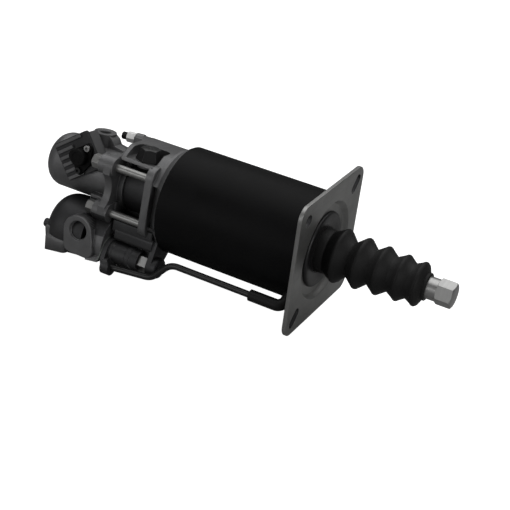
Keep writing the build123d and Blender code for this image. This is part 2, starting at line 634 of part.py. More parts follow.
def port_boss():
    """Egg-shaped boss of the air port."""
    edges = []
    for a, b, radius in AIR_BOSS_CIRCLES:
        edges += (Pos(a, b) * Circle(radius)).edges()
    face = Plane(origin=(AIR_PORT_X, -AIR_PORT_FACE, AIR_PORT_UP), x_dir=(1, 0, 0), z_dir=(0, -1, 0))
    boss = extrude(face * make_hull(edges), AIR_BOSS_DEPTH, dir=(0, 1, 0))
    return chamfer(boss.faces().sort_by(Axis.Y)[0].edges(), 0.5)


def valve_side():
    """The lower half of the valve housing, with its neck, the air port's boss and the breather's boss."""
    side = valve_body() + port_boss() + block((NECK_REAR, BODY_END - 1), (5, 34), (-42, -14))
    side += place(rod_x(BREATHER_BOSS_RADIUS, BODY_END - 14, BODY_END), 0, PIPE_FRONT, PIPE_ROUTE[0][1])
    front, up = END_SCREWS[0]
    ear = (Pos(-front, up) * Circle(END_EAR_RADIUS)).edges() + (Pos(-front, up + 16) * Circle(9)).edges()
    side += Pos(BODY_END - 10, 0, 0) * extrude(Plane.YZ * make_hull(ear), 10, dir=(1, 0, 0))
    return side + place(rod_x(4.5, -290, -270), 0, 41, -58)


def valve_housing():
    """One casting: lug plate, barrel, hydraulic port boss, and the control valve's body with the air port."""
    housing = lug_plate() + rod_x(BARREL_RADIUS, BARREL_REAR, -228)
    boss = Cylinder(HYDRAULIC_BOSS_RADIUS, HYDRAULIC_PORT_TOP - 5)
    housing += place(boss, HYDRAULIC_PORT_X, 0, (HYDRAULIC_PORT_TOP + 5) / 2)
    gusset = Polyline((-262, 15), (-262, 40.4), (-251, 40.4), (-246, 37), (-243, 32), (-224, 29), (-224, 15),
                      close=True)
    housing += extrude(Plane.XZ * make_face(gusset), GUSSET_THICKNESS / 2, both=True)
    pad = exhaust_place(Pos(0, 8, 0) * Box(EXHAUST_LENGTH - 4, 16, EXHAUST_WIDTH - 4))
    housing += pad & block((BARREL_REAR + 0.4, -224), (8, EXHAUST_SEAT), (-60, 60))
    housing = valve_side() + housing
    housing -= rod_x(CYLINDER_SPIGOT_RADIUS, CYLINDER_SPIGOT_REAR, CYLINDER_REAR)
    housing -= rod_x(HYDRAULIC_BORE_RADIUS, HYDRAULIC_BORE_END, CYLINDER_SPIGOT_REAR)
    housing -= rod_x(CAP_SHANK_RADIUS, BARREL_REAR, BARREL_REAR + CAP_SHANK_LENGTH + 1)
    for front, up in bolt_places():
        housing -= place(rod_x(BOLT_RADIUS, LUG_END, LUG_START), 0, front, up)
        housing -= place(ring_x(SPOT_FACE_RADIUS, BOLT_RADIUS, LUG_END - 12, LUG_END), 0, front, up)
    port = Cylinder(HYDRAULIC_PORT_RADIUS, HYDRAULIC_PORT_DEPTH)
    port = Pos(0, 0, HYDRAULIC_PORT_TOP - HYDRAULIC_PORT_DEPTH / 2) * port
    port += Pos(0, 0, HYDRAULIC_PORT_TOP - 0.5) * Cone(HYDRAULIC_PORT_RADIUS, HYDRAULIC_PORT_RADIUS + 1, 1)
    housing -= place(port + Pos(0, 0, 19) * Cylinder(2.5, 20), HYDRAULIC_PORT_X)
    inlet = rod_front(AIR_PORT_RADIUS, AIR_PORT_FACE, AIR_PORT_DEPTH)
    rim = Cone(AIR_PORT_RADIUS, AIR_PORT_RADIUS + AIR_PORT_RIM, AIR_PORT_RIM)
    inlet += Pos(0, -AIR_PORT_FACE + AIR_PORT_RIM / 2, 0) * Rot(90, 0, 0) * rim
    inlet += Pos(0, 0, -4.5) * rod_front(VALVE_PASSAGE_RADIUS, AIR_PORT_FACE - AIR_PORT_DEPTH + 2, 12)
    housing -= place(inlet, AIR_PORT_X, 0, AIR_PORT_UP)
    housing -= place(rod_x(VALVE_BORE_RADIUS, VALVE_BORE_END, BODY_END), 0, VALVE_FRONT, VALVE_UP)
    height = PIPE_ROUTE[0][1]
    housing -= place(rod_x(PIPE_BORE_RADIUS, BODY_END - 10, BODY_END), 0, PIPE_FRONT, height)
    housing -= place(rod_front(2.5, PIPE_FRONT, 16), BODY_END - 8, 0, height + 1)
    exhaust_x, exhaust_up = EXHAUST_HOLE
    depth = EXHAUST_SEAT - 7.5
    housing -= place(rod_front(3, EXHAUST_SEAT, 10), exhaust_x, 0, exhaust_up)
    housing -= place(rod_x(2.2, exhaust_x, EXHAUST_DRILLING_X), 0, depth, exhaust_up)
    housing -= place(Rot(0, 0, 40) * Cylinder(2.6, 76), EXHAUST_DRILLING_X, depth, exhaust_up + 1 - 38)
    housing -= place(rod_front(1.7, 31, 10), EXHAUST_DRILLING_X, 0, -60)
    housing -= place(Rot(0, 0, 40) * Cylinder(2, 54), SIGNAL_X, 9, -37)
    housing -= place(rod_x(1.6, VALVE_BORE_END + 2, SIGNAL_X), 0, 9, VALVE_UP)
    housing -= place(rod_front(1.9, 30, 22), VALVE_BORE_END + 4, 0, VALVE_UP)
    for a, b in COVER_SCREWS:
        housing -= exhaust_place(rod_front(SMALL_SCREW_RADIUS, 0, 9), a, b)
    for front, up in END_SCREWS:
        housing -= place(rod_x(SMALL_SCREW_RADIUS, BODY_END - 9, BODY_END), 0, front, up)
    return housing


def rear_cap():
    """Domed plug that closes the barrel's rear end."""
    start, shank_end = BARREL_REAR, BARREL_REAR + CAP_SHANK_LENGTH
    return turned_solid([(shank_end, 0), (shank_end, CAP_SHANK_RADIUS), (start, CAP_SHANK_RADIUS),
                         (start, BARREL_RADIUS), (start - 2.5, 28), (start - 5.5, 26.8), (start - 8.5, 24.8),
                         (CAP_REAR, 22), (CAP_REAR, 0)])


def exhaust_place(part, a=0.0, b=0.0):
    """Puts a shape on the exhaust cover's seat, a and b along and across its ribs."""
    return place(Rot(0, -EXHAUST_TURN, 0) * (Pos(a, -EXHAUST_SEAT, -b) * part), EXHAUST_X, 0, EXHAUST_UP)


def exhaust_gasket():
    """Flat gasket under the exhaust cover."""
    length, width = EXHAUST_LENGTH - 4, EXHAUST_WIDTH - 4
    gasket = Pos(0, -GASKET / 2, 0) * (Box(length, GASKET, width) - Box(length - 8, GASKET, width - 8))
    for a, b in COVER_SCREWS:
        gasket += Pos(a, -GASKET / 2, -b) * Rot(90, 0, 0) * Cylinder(SCREW_HEAD_RADIUS, GASKET)
        gasket -= Pos(a, -GASKET / 2, -b) * Rot(90, 0, 0) * Cylinder(SMALL_SCREW_RADIUS, GASKET)
    return exhaust_place(gasket)


def cap_outline(grow=0.0):
    """Outline of the exhaust cap's foot with its two screw ears, in the cover's own plane."""
    edges = []
    for a, b, radius in CAP_CIRCLES:
        edges += (Pos(a, b) * Circle(radius + grow)).edges()
    return make_hull(edges)


def on_cover(outline, start, height):
    """Stands an outline of the cover's own plane on a height over its seat."""
    face = Plane(origin=(0, -start, 0), x_dir=(1, 0, 0), z_dir=(0, 1, 0)) * outline
    return extrude(face, height, dir=(0, -1, 0))


def exhaust_cover():
    """Ribbed cover over the exhaust chamber."""
    plate = Pos(0, -GASKET - EXHAUST_THICKNESS / 2, 0) * Box(EXHAUST_LENGTH, EXHAUST_THICKNESS, EXHAUST_WIDTH)
    plate = fillet(plate.edges().filter_by(Axis.Y), 3)
    top = GASKET + EXHAUST_THICKNESS
    for number in range(-3, 3):
        b = (number + 0.5) * RIB_PITCH
        end = 14.0 if b < -17 else 0.0
        rib = Box(end - RIB_START, RIB_HEIGHT + 1, RIB_WIDTH)
        plate += Pos((end + RIB_START) / 2, -top - RIB_HEIGHT / 2 + 0.5, -b) * rib
    plate -= on_cover(cap_outline(0.3), top, 6)
    plate -= on_cover(Pos(*CAP_PLACE) * Circle(CAP_STEM_RADIUS), 0, 12)
    for a, b in COVER_SCREWS:
        plate -= on_cover(Pos(a, b) * Circle(SMALL_SCREW_RADIUS), 0, 12)
    bolt_room = place(rod_x(WASHER_RADIUS + 0.6, LUG_END - 12, LUG_END), 0, BOLT_FRONT, BOLT_UP)
    return exhaust_place(plate) - bolt_room


def exhaust_cap():
    """Black plastic outlet: a flat foot with two screw ears, a round spout and a stem into the cover."""
    top = GASKET + EXHAUST_THICKNESS
    foot = on_cover(cap_outline(), top, CAP_FOOT)
    foot = fillet(foot.faces().sort_by(Axis.Y)[0].edges(), 1)
    spout = on_cover(Pos(*CAP_PLACE) * Circle(CAP_RADIUS), top + 1, CAP_SPOUT_HEIGHT)
    spout = fillet(spout.faces().sort_by(Axis.Y)[0].edges(), 1.2)
    cap = foot + spout + on_cover(Pos(*CAP_PLACE) * Circle(CAP_STEM_RADIUS), GASKET, EXHAUST_THICKNESS + 1)
    for a, b in COVER_SCREWS:
        cap -= on_cover(Pos(a, b) * Circle(SMALL_SCREW_RADIUS), top, CAP_FOOT + 1)
    return exhaust_place(cap)


def cover_screws():
    """Screws through the exhaust cap's ears and the cover."""
    seat = GASKET + EXHAUST_THICKNESS + CAP_FOOT
    screw = Pos(0, 0, SCREW_HEAD_HEIGHT / 2 + seat) * Cylinder(SCREW_HEAD_RADIUS, SCREW_HEAD_HEIGHT)
    screw += Pos(0, 0, seat - SCREW_LENGTH / 2) * Cylinder(SMALL_SCREW_RADIUS, SCREW_LENGTH)
    screw -= Pos(0, 0, seat + 2.4) * extrude(RegularPolygon(1.5, 6, major_radius=False), 1.6, both=True)
    return [exhaust_place(Rot(90, 0, 0) * screw, a, b) for a, b in COVER_SCREWS]


def end_flange(thickness):
    """Outline of the valve's end cover, with two screw ears and one for the breather pipe."""
    edges = (Pos(-VALVE_FRONT, VALVE_UP) * Circle(15)).edges()
    edges += (Pos(-PIPE_FRONT, PIPE_ROUTE[0][1]) * Circle(7)).edges()
    for front, up in END_SCREWS:
        edges += (Pos(-front, up) * Circle(END_EAR_RADIUS)).edges()
    return extrude(Plane.YZ * make_hull(edges), thickness, dir=(1, 0, 0))


def valve_gasket():
    """Flat gasket between the valve housing and its end cover."""
    end = BODY_END + GASKET
    gasket = Pos(BODY_END, 0, 0) * end_flange(GASKET)
    gasket -= place(rod_x(VALVE_BORE_RADIUS, BODY_END, end), 0, VALVE_FRONT, VALVE_UP)
    gasket -= place(rod_x(PIPE_BORE_RADIUS, BODY_END, end), 0, PIPE_FRONT, PIPE_ROUTE[0][1])
    for front, up in END_SCREWS:
        gasket -= place(rod_x(SMALL_SCREW_RADIUS, BODY_END, end), 0, front, up)
    return gasket


def valve_end_cover():
    """Cover of the control valve, with the boss of the breather pipe and the inlet valve's guide."""
    start = BODY_END + GASKET
    wall_rear, wall_front = GUIDE_WALL_ENDS
    barrel = turned_solid([(start, 0), (start, 12.8), (-205, 12.8), (-204, COVER_RADIUS), (-189, COVER_RADIUS),
                           (-188.5, 12.9), (-184, 12.9), (-183.5, COVER_RADIUS),
                           (COVER_END + 3, COVER_RADIUS - 0.4), (COVER_END, 9.5), (COVER_END, 0)])
    cover = Pos(start, 0, 0) * end_flange(END_FLANGE_THICKNESS) + place(barrel, 0, VALVE_FRONT, VALVE_UP)
    cover += place(rod_x(8.5, start, BREATHER_FACE), 0, PIPE_FRONT, PIPE_ROUTE[0][1])
    pipe_hole = rod_x(PIPE_RADIUS, start + 2, BREATHER_FACE) + rod_x(PIPE_BORE_RADIUS, start, start + 3)
    cover -= place(pipe_hole, 0, PIPE_FRONT, PIPE_ROUTE[0][1])
    bore = rod_x(COVER_BORE_RADIUS, start, wall_rear) + rod_x(COVER_BORE_RADIUS, wall_front, -182)
    bore += rod_x(VALVE_PASSAGE_RADIUS, -183, COVER_END)
    bore += rod_x(GUIDE_HOLE_RADIUS + RUNNING_GAP, wall_rear - 1, wall_front + 1)
    for turn in (0, 120, 240):
        bore += Rot(turn, 0, 0) * Pos(0, 0, 5.2) * rod_x(1.2, wall_rear - 1, wall_front + 1)
    cover -= place(bore, 0, VALVE_FRONT, VALVE_UP)
    for front, up in END_SCREWS:
        cover -= place(rod_x(SMALL_SCREW_RADIUS, start, start + END_FLANGE_THICKNESS + 1), 0, front, up)
    return cover


def valve_cover_screws():
    """Hexagon screws of the valve's end cover."""
    start = BODY_END + GASKET + END_FLANGE_THICKNESS
    screw = hexagon_x(5.5, start, start + 4) + rod_x(SMALL_SCREW_RADIUS, BODY_END - 8, start)
    return [place(screw, 0, front, up) for front, up in END_SCREWS]


def transfer_fitting():
    """Hexagonal fitting that carries the air from the valve's cover into the rear head."""
    fitting = hexagon_x(14, COVER_END, TRANSFER_END) - rod_x(VALVE_PASSAGE_RADIUS, COVER_END, TRANSFER_END)
    return place(fitting, 0, VALVE_FRONT, VALVE_UP)


def control_piston():
    """Small piston that the clutch fluid pushes against the inlet valve."""
    land, groove = VALVE_BORE_RADIUS - RUNNING_GAP, CONTROL_SEAL_INNER
    rear, front = CONTROL_SEAL_ENDS
    piston = turned_solid([(-267, 0), (-267, land), (rear, land), (rear, groove), (front, groove),
                           (front, land), (-257, land), (-257, 4), (-231.1, 4), (-231.1, 0)])
    return place(piston, 0, VALVE_FRONT, VALVE_UP)


def control_seal():
    """Rubber ring in the control piston's groove."""
    seal = ring_x(VALVE_BORE_RADIUS - RUNNING_GAP, CONTROL_SEAL_INNER, *CONTROL_SEAL_ENDS)
    return place(seal, 0, VALVE_FRONT, VALVE_UP)


def control_spring():
    """Return spring of the control piston."""
    return place(coil(-256.0, -236.3, 6.4, 0.6, 6), 0, VALVE_FRONT, VALVE_UP)


def valve_seat():
    """Seat ring of the inlet valve, pressed into the valve's bore."""
    seat = turned_solid([(-235.5, 5.6), (-235.5, VALVE_BORE_RADIUS), (-226, VALVE_BORE_RADIUS), (-226, 7.5),
                         (-224.5, 6), (-224.5, 5.4), (-233, 5.4)])
    return place(seat, 0, VALVE_FRONT, VALVE_UP)


def inlet_valve():
    """Poppet of the inlet valve with its guide stem."""
    stem = GUIDE_HOLE_RADIUS
    poppet = turned_solid([(-224.4, 0), (-224.4, 7.2), (-221.6, 7.2), (-221.6, stem), (-194, stem), (-194, 0)])
    poppet += rod_x(3, -231, -224.4)
    return place(poppet, 0, VALVE_FRONT, VALVE_UP)


def valve_spring():
    """Closing spring of the inlet valve."""
    return place(coil(-220.7, -203.9, 4.9, 0.6, 5), 0, VALVE_FRONT, VALVE_UP)


def breather_pipe():
    """Bent pipe from the valve's end cover to the front end of the air cylinder."""
    rear, height = PIPE_ROUTE[0]
    points = [(rear, height), (rear + 10, height)] + PIPE_ROUTE[1:]
    line = FilletPolyline(*[(x, -PIPE_FRONT, up) for x, up in points], radius=PIPE_BEND)
    start = Plane(origin=line @ 0, z_dir=line % 0)
    return sweep(start * (Circle(PIPE_RADIUS) - Circle(PIPE_BORE_RADIUS)), path=line)


def pipe_elbow():
    """Rubber elbow from the breather pipe into the tube's nipple."""
    away = math.hypot(PIPE_FRONT, PIPE_ROUTE[-1][1])
    up = (0, -PIPE_FRONT / away, PIPE_ROUTE[-1][1] / away)
    plane = Plane(origin=(0, 0, 0), x_dir=(1, 0, 0), z_dir=(0, -up[2], up[1]))
    bend = NIPPLE_X - ELBOW_BEND
    line = Line((ELBOW_START, away), (bend, away))
    line += TangentArc((bend, away), (NIPPLE_X, away - ELBOW_BEND), tangent=(1, 0))
    line += Line((NIPPLE_X, away - ELBOW_BEND), (NIPPLE_X, TUBE_RADIUS + 0.6))
    path = Wire((plane * line).edges())
    start = Plane(origin=path @ 0, z_dir=path % 0)
    elbow = sweep(start * Circle(ELBOW_RADIUS), path=path) - sweep(start * Circle(PIPE_BORE_RADIUS), path=path)
    elbow -= place(rod_x(PIPE_RADIUS, ELBOW_START, PIPE_ROUTE[-1][0]), 0, PIPE_FRONT, PIPE_ROUTE[-1][1])
    wall = Plane(origin=(NIPPLE_X, up[1] * TUBE_RADIUS, up[2] * TUBE_RADIUS), z_dir=up)
    return elbow - wall.location * (Pos(0, 0, 4) * Cylinder(NIPPLE_RADIUS, 8))


PARTS = {
    "mounting_flange": mounting_flange,
    "cylinder_tube": cylinder_tube,
    "tube_nipple": tube_nipple,
    "bellows_retainer": bellows_retainer,
    "bellows": bellows,
    "guide_bush": guide_bush,
    "rod_seal": rod_seal,
    "push_rod": push_rod,
    "rod_end": rod_end,
    "air_piston": air_piston,
    "piston_seal": piston_seal,
    "piston_guide_ring": piston_guide_ring,
    "piston_nut": piston_nut,
    "return_spring": return_spring,
    "hydraulic_plunger": hydraulic_plunger,
    "plunger_seal": plunger_seal,
    "tube_seals": tube_seals,
}
REAR_PARTS = {
    "plunger_bush": plunger_bush,
    "rear_head": rear_head,
    "inlet_plug": inlet_plug,
    "bleed_screw": bleed_screw,
    "bleed_cap": bleed_cap,
    "hydraulic_cylinder": hydraulic_cylinder,
    "long_bolts": long_bolts,
    "bolt_washers": bolt_washers,
    "cylinder_seal": cylinder_seal,
    "valve_housing": valve_housing,
    "rear_cap": rear_cap,
    "exhaust_gasket": exhaust_gasket,
    "exhaust_cover": exhaust_cover,
    "exhaust_cap": exhaust_cap,
    "cover_screws": cover_screws,
    "valve_gasket": valve_gasket,
    "valve_end_cover": valve_end_cover,
    "valve_cover_screws": valve_cover_screws,
    "transfer_fitting": transfer_fitting,
    "control_piston": control_piston,
    "control_seal": control_seal,
    "control_spring": control_spring,
    "valve_seat": valve_seat,
    "inlet_valve": inlet_valve,
    "valve_spring": valve_spring,
    "breather_pipe": breather_pipe,
    "pipe_elbow": pipe_elbow,
}

os.makedirs("parts", exist_ok=True)
for name, make in (PARTS | REAR_PARTS).items():
    made = make()
    pieces = made if isinstance(made, list) else [made]
    if name in REAR_PARTS:
        pieces = [place_turned(piece) for piece in pieces]
    export_step(Compound(children=pieces) if len(pieces) > 1 else pieces[0], f"parts/{name}.step")
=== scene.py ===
"""Looks of a heavy vehicle's clutch servo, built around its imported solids.

The row frame is in metres. The origin is the centre of the mounting plate's front face, +X runs out
of the plate along the push rod and +Z is up. The rear castings are clocked about X, and a place on
them is given in millimetres, as x, front and up.
"""

import json
import logging
import math
from dataclasses import dataclass, field
from enum import Enum
from typing import Callable, NamedTuple, Optional, Sequence

import bmesh
import bpy
from mathutils import Matrix, Vector

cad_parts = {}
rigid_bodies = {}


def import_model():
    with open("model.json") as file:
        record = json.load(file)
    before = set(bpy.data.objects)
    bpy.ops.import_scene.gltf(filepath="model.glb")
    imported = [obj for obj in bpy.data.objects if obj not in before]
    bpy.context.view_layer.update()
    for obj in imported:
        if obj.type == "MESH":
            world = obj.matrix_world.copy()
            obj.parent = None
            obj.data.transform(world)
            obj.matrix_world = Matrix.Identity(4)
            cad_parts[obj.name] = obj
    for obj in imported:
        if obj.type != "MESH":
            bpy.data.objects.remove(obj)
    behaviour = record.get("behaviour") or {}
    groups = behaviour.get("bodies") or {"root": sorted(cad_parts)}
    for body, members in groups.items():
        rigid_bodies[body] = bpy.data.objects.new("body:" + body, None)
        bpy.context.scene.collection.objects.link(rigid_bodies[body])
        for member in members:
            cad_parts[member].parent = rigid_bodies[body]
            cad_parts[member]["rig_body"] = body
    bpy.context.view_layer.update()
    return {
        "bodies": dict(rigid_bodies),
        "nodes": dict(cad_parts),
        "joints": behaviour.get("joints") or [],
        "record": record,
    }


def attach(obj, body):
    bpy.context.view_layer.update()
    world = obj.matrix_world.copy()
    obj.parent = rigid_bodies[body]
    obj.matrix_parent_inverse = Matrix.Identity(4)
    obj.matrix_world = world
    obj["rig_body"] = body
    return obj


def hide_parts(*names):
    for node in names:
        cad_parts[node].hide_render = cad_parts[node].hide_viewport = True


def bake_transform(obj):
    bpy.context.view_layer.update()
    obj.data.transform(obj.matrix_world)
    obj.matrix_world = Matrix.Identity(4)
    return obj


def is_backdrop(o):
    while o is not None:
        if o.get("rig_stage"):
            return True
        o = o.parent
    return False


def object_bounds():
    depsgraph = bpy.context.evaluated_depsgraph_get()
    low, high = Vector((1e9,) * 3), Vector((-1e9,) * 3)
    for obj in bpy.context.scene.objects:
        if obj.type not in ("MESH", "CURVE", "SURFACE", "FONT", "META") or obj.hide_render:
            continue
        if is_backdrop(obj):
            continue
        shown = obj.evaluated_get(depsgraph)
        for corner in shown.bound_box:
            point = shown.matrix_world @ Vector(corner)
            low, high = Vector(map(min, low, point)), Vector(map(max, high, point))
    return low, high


LOG = logging.getLogger("clutch_servo")
MM = 0.001
WELD_DISTANCE = 2e-6
FLAT_ANGLE = math.radians(0.05)
REAR_CLOCKING = Matrix.Rotation(math.radians(-8.0), 4, "X")
Mesh = bmesh.types.BMesh
Face = bmesh.types.BMFace
Socket = bpy.types.NodeSocket
Profile = Sequence[tuple[float, float]]
Limits = tuple[float, float]
Block = tuple[Limits, Limits, Limits]
FaceTest = Callable[[Face], bool]
Move = Callable[[Vector], None]


class Body(Enum):
    """The rigid bodies that the pieces ride on."""

    HOUSING = "housing"
    ROD = "rod_assembly"
    BLEED = "bleed_valve"
    CONTROL = "control_valve"
    INLET = "inlet_poppet"


class Grain(Enum):
    """How the surface of a metal was made."""

    CAST = "cast"
    ROLLED = "rolled"
    TURNED = "turned"


class Direction(Enum):
    """The directions of the rear section, before it is clocked."""

    ALONG = (1.0, 0.0, 0.0)
    FRONT = (0.0, -1.0, 0.0)
    UP = (0.0, 0.0, 1.0)


Planes = Sequence[tuple[Direction, float]]


class Sheet:
    """A node tree with short calls to add and join its nodes."""

    def __init__(self, tree: bpy.types.NodeTree) -> None:
        """Keeps the tree that the nodes go into.

        Args:
            tree: The node tree of a material or a node group.
        """
        self.tree = tree

    def add(self, kind: str, inputs: Optional[dict] = None, **settings: object) -> bpy.types.Node:
        """Adds a node.

        Args:
            kind: The node's type name.
            inputs: Values for its input sockets, or sockets to be joined to them, by name or number.
            **settings: Properties of the node.

        Returns:
            The new node.
        """
        node = self.tree.nodes.new(kind)
        for name, value in settings.items():
            setattr(node, name, value)
        for key, value in (inputs or {}).items():
            if isinstance(value, Socket):
                self.tree.links.new(value, node.inputs[key])
            else:
                node.inputs[key].default_value = value
        return node

    def math(self, operation: str, first: object, second: object, clamp: bool = False) -> Socket:
        """Adds a math node and returns its result socket."""
        node = self.add("ShaderNodeMath", {0: first, 1: second}, operation=operation, use_clamp=clamp)
        return node.outputs[0]

    def scaled(self, vector: Socket, factors: object) -> Socket:
        """Multiplies a vector by another and returns the result socket."""
        return self.add("ShaderNodeVectorMath", {0: vector, 1: factors}, operation="MULTIPLY").outputs[0]

    def weigh(self, *parts: tuple[Socket, float]) -> Socket:
        """Adds sockets up, each times its weight, and returns the sum's socket."""
        total: object = 0.0
        for socket, weight in parts:
            node = self.add("ShaderNodeMath", {0: socket, 1: weight, 2: total}, operation="MULTIPLY_ADD")
            total = node.outputs[0]
        return total

    def noise(self, vector: Socket, scale: object, detail: float, roughness: float = 0.5) -> Socket:
        """Adds a noise texture and returns its value socket."""
        inputs = {"Vector": vector, "Scale": scale, "Detail": detail, "Roughness": roughness}
        return self.add("ShaderNodeTexNoise", inputs).outputs["Fac"]

    def span(self, value: object, low: float, high: float) -> Socket:
        """Maps a span of values to 0 and 1, held at its ends, and returns the result socket."""
        return self.add("ShaderNodeMapRange", {0: value, 1: low, 2: high}, clamp=True).outputs[0]

    def mix(self, share: object, first: object, second: object) -> Socket:
        """Mixes two colours and returns the result socket."""
        return self.add("ShaderNodeMix", {0: share, 6: first, 7: second}, data_type="RGBA").outputs[2]


class SharedGroup(Sheet):
    """A shader node group with named sockets."""

    def __init__(self, name: str, inputs: dict, outputs: Sequence[str]) -> None:
        """Starts the group.

        Args:
            name: The group's name.
            inputs: Socket names with their default values; None makes a vector socket.
            outputs: The names of its results, which are numbers apart from Normal.
        """
        super().__init__(bpy.data.node_groups.new(name, "ShaderNodeTree"))
        for socket, value in inputs.items():
            kind = "NodeSocketVector" if value is None else "NodeSocketFloat"
            made = self.tree.interface.new_socket(socket, in_out="INPUT", socket_type=kind)
            if value is not None:
                made.default_value = value
        for socket in outputs:
            kind = "NodeSocketVector" if socket == "Normal" else "NodeSocketFloat"
            self.tree.interface.new_socket(socket, in_out="OUTPUT", socket_type=kind)
        self.given = self.tree.nodes.new("NodeGroupInput").outputs
        self.results = self.tree.nodes.new("NodeGroupOutput").inputs

    def give(self, **results: Socket) -> bpy.types.NodeTree:
        """Joins sockets to the group's outputs and returns its tree."""
        for name, socket in results.items():
            self.tree.links.new(socket, self.results[name])
        return self.tree


class Effects:
    """The node groups that several finishes share."""

    def __init__(self) -> None:
        """Builds each group once."""
        self.rounding = self._rounding()
        self.cast_skin = self._cast_skin()
        self.drawn_lines = self._drawn_lines()
        self.smudges = self._smudges()

    @staticmethod
    def _rounding() -> bpy.types.NodeTree:
        """A small radius on every edge, and a mask of the edges that stand proud."""
        group = SharedGroup("edge_rounding", {"Radius": 0.0006}, ("Normal", "Edge"))
        soft = group.add("ShaderNodeBevel", {"Radius": group.given["Radius"]}, samples=6).outputs[0]
        flat = group.add("ShaderNodeNewGeometry").outputs["Normal"]
        turn = group.add("ShaderNodeVectorMath", {0: soft, 1: flat}, operation="DOT_PRODUCT")
        return group.give(Normal=soft, Edge=group.span(turn.outputs["Value"], 0.995, 0.85))

    @staticmethod
    def _cast_skin() -> bpy.types.NodeTree:
        """The grain, pits and flow marks of a casting."""
        group = SharedGroup("cast_skin", {"Vector": None, "Scale": 900.0}, ("Height", "Tone"))
        place, scale = group.given["Vector"], group.given["Scale"]
        grain = group.noise(place, scale, 4.0, 0.6)
        lumps = group.noise(place, group.math("MULTIPLY", scale, 0.16), 3.0)
        pit_scale = group.math("MULTIPLY", scale, 0.55)
        pits = group.add("ShaderNodeTexVoronoi", {"Vector": place, "Scale": pit_scale})
        dents = group.span(pits.outputs["Distance"], 0.05, 0.28)
        clouds = group.noise(place, group.math("MULTIPLY", scale, 0.04), 4.0, 0.55)
        height = group.weigh((grain, 0.5), (lumps, 0.8), (dents, 0.18))
        return group.give(Height=height, Tone=group.weigh((clouds, 0.7), (grain, 0.3)))

    @staticmethod
    def _drawn_lines() -> bpy.types.NodeTree:
        """Fine lines along X, Y or Z, as rolling, drawing or turning leaves them."""
        inputs = {"Vector": None, "Along X": 60.0, "Along Y": 3000.0, "Along Z": 3000.0}
        group = SharedGroup("drawn_lines", inputs, ("Height", "Tone"))
        scale = group.add("ShaderNodeCombineXYZ", {axis: group.given[f"Along {axis}"] for axis in "XYZ"})
        spread = group.scaled(group.given["Vector"], scale.outputs[0])
        lines = group.noise(spread, 1.0, 3.0, 0.65)
        bands = group.noise(group.scaled(spread, (0.13, 0.13, 0.13)), 1.0, 2.0)
        return group.give(Height=lines, Tone=group.weigh((lines, 0.5), (bands, 0.5)))

    @staticmethod
    def _smudges() -> bpy.types.NodeTree:
        """Broad soft marks of handling and oil, and thin scuffs."""
        group = SharedGroup("smudges", {"Vector": None, "Scale": 30.0}, ("Film", "Scuffs"))
        place, scale = group.given["Vector"], group.given["Scale"]
        film = group.span(group.noise(place, scale, 5.0, 0.6), 0.35, 0.7)
        turned = {"Vector": place, "Rotation": (0.4, 0.9, 0.3), "Scale": (1.0, 9.0, 2.5)}
        skew = group.add("ShaderNodeMapping", turned)
        thin = group.noise(skew.outputs[0], group.math("MULTIPLY", scale, 5.0), 2.0)
        return group.give(Film=film, Scuffs=group.span(thin, 0.66, 0.74))


@dataclass
class Canvas:
    """What every finish starts from: the sheet, the place on the piece and the marks on it."""

    sheet: Sheet
    effects: Effects
    place: Socket
    edge: Socket
    film: Socket
    scuffs: Socket


class Skin(NamedTuple):
    """What a finish gives its shader; the relief's depth is in metres."""

    colour: Socket
    roughness: Socket
    height: Socket
    strength: float
    depth: float


@dataclass(frozen=True)
class Finish:
    """A finish that a maker would name, and the material that shows it."""

    name: str
    colour: tuple[float, float, float]
    roughness: float
    radius: float = 0.0005

    def shade(self, factor: float) -> tuple[float, float, float, float]:
        """The finish's colour made lighter or darker."""
        return (*(min(1.0, part * factor) for part in self.colour), 1.0)

    def surface(self, canvas: Canvas) -> Skin:
        """What changes over the surface; each kind of finish has its own."""
        raise NotImplementedError

    def constants(self) -> dict[str, float]:
        """The shader's own values, the same all over; each kind of finish has its own."""
        raise NotImplementedError

    def make(self, effects: Effects) -> bpy.types.Material:
        """Builds the material.

        Args:
            effects: The shared node groups.

        Returns:
            The material.
        """
        material = bpy.data.materials.new(self.name)
        material.use_nodes = True
        sheet = Sheet(material.node_tree)
        shader = material.node_tree.nodes["Principled BSDF"]
        place = sheet.add("ShaderNodeTexCoord").outputs["Object"]
        edges = sheet.add("ShaderNodeGroup", {"Radius": self.radius}, node_tree=effects.rounding).outputs
        marks = sheet.add("ShaderNodeGroup", {"Vector": place}, node_tree=effects.smudges).outputs
        canvas = Canvas(sheet, effects, place, edges["Edge"], marks["Film"], marks["Scuffs"])
        skin = self.surface(canvas)
        bump = sheet.add("ShaderNodeBump", {"Height": skin.height, "Normal": edges["Normal"],
                                            "Strength": skin.strength, "Distance": skin.depth})
        joined = {"Base Color": skin.colour, "Roughness": skin.roughness, "Normal": bump.outputs[0]}
        for socket, value in joined.items():
            sheet.tree.links.new(value, shader.inputs[socket])
        for socket, value in self.constants().items():
            shader.inputs[socket].default_value = value
        return material


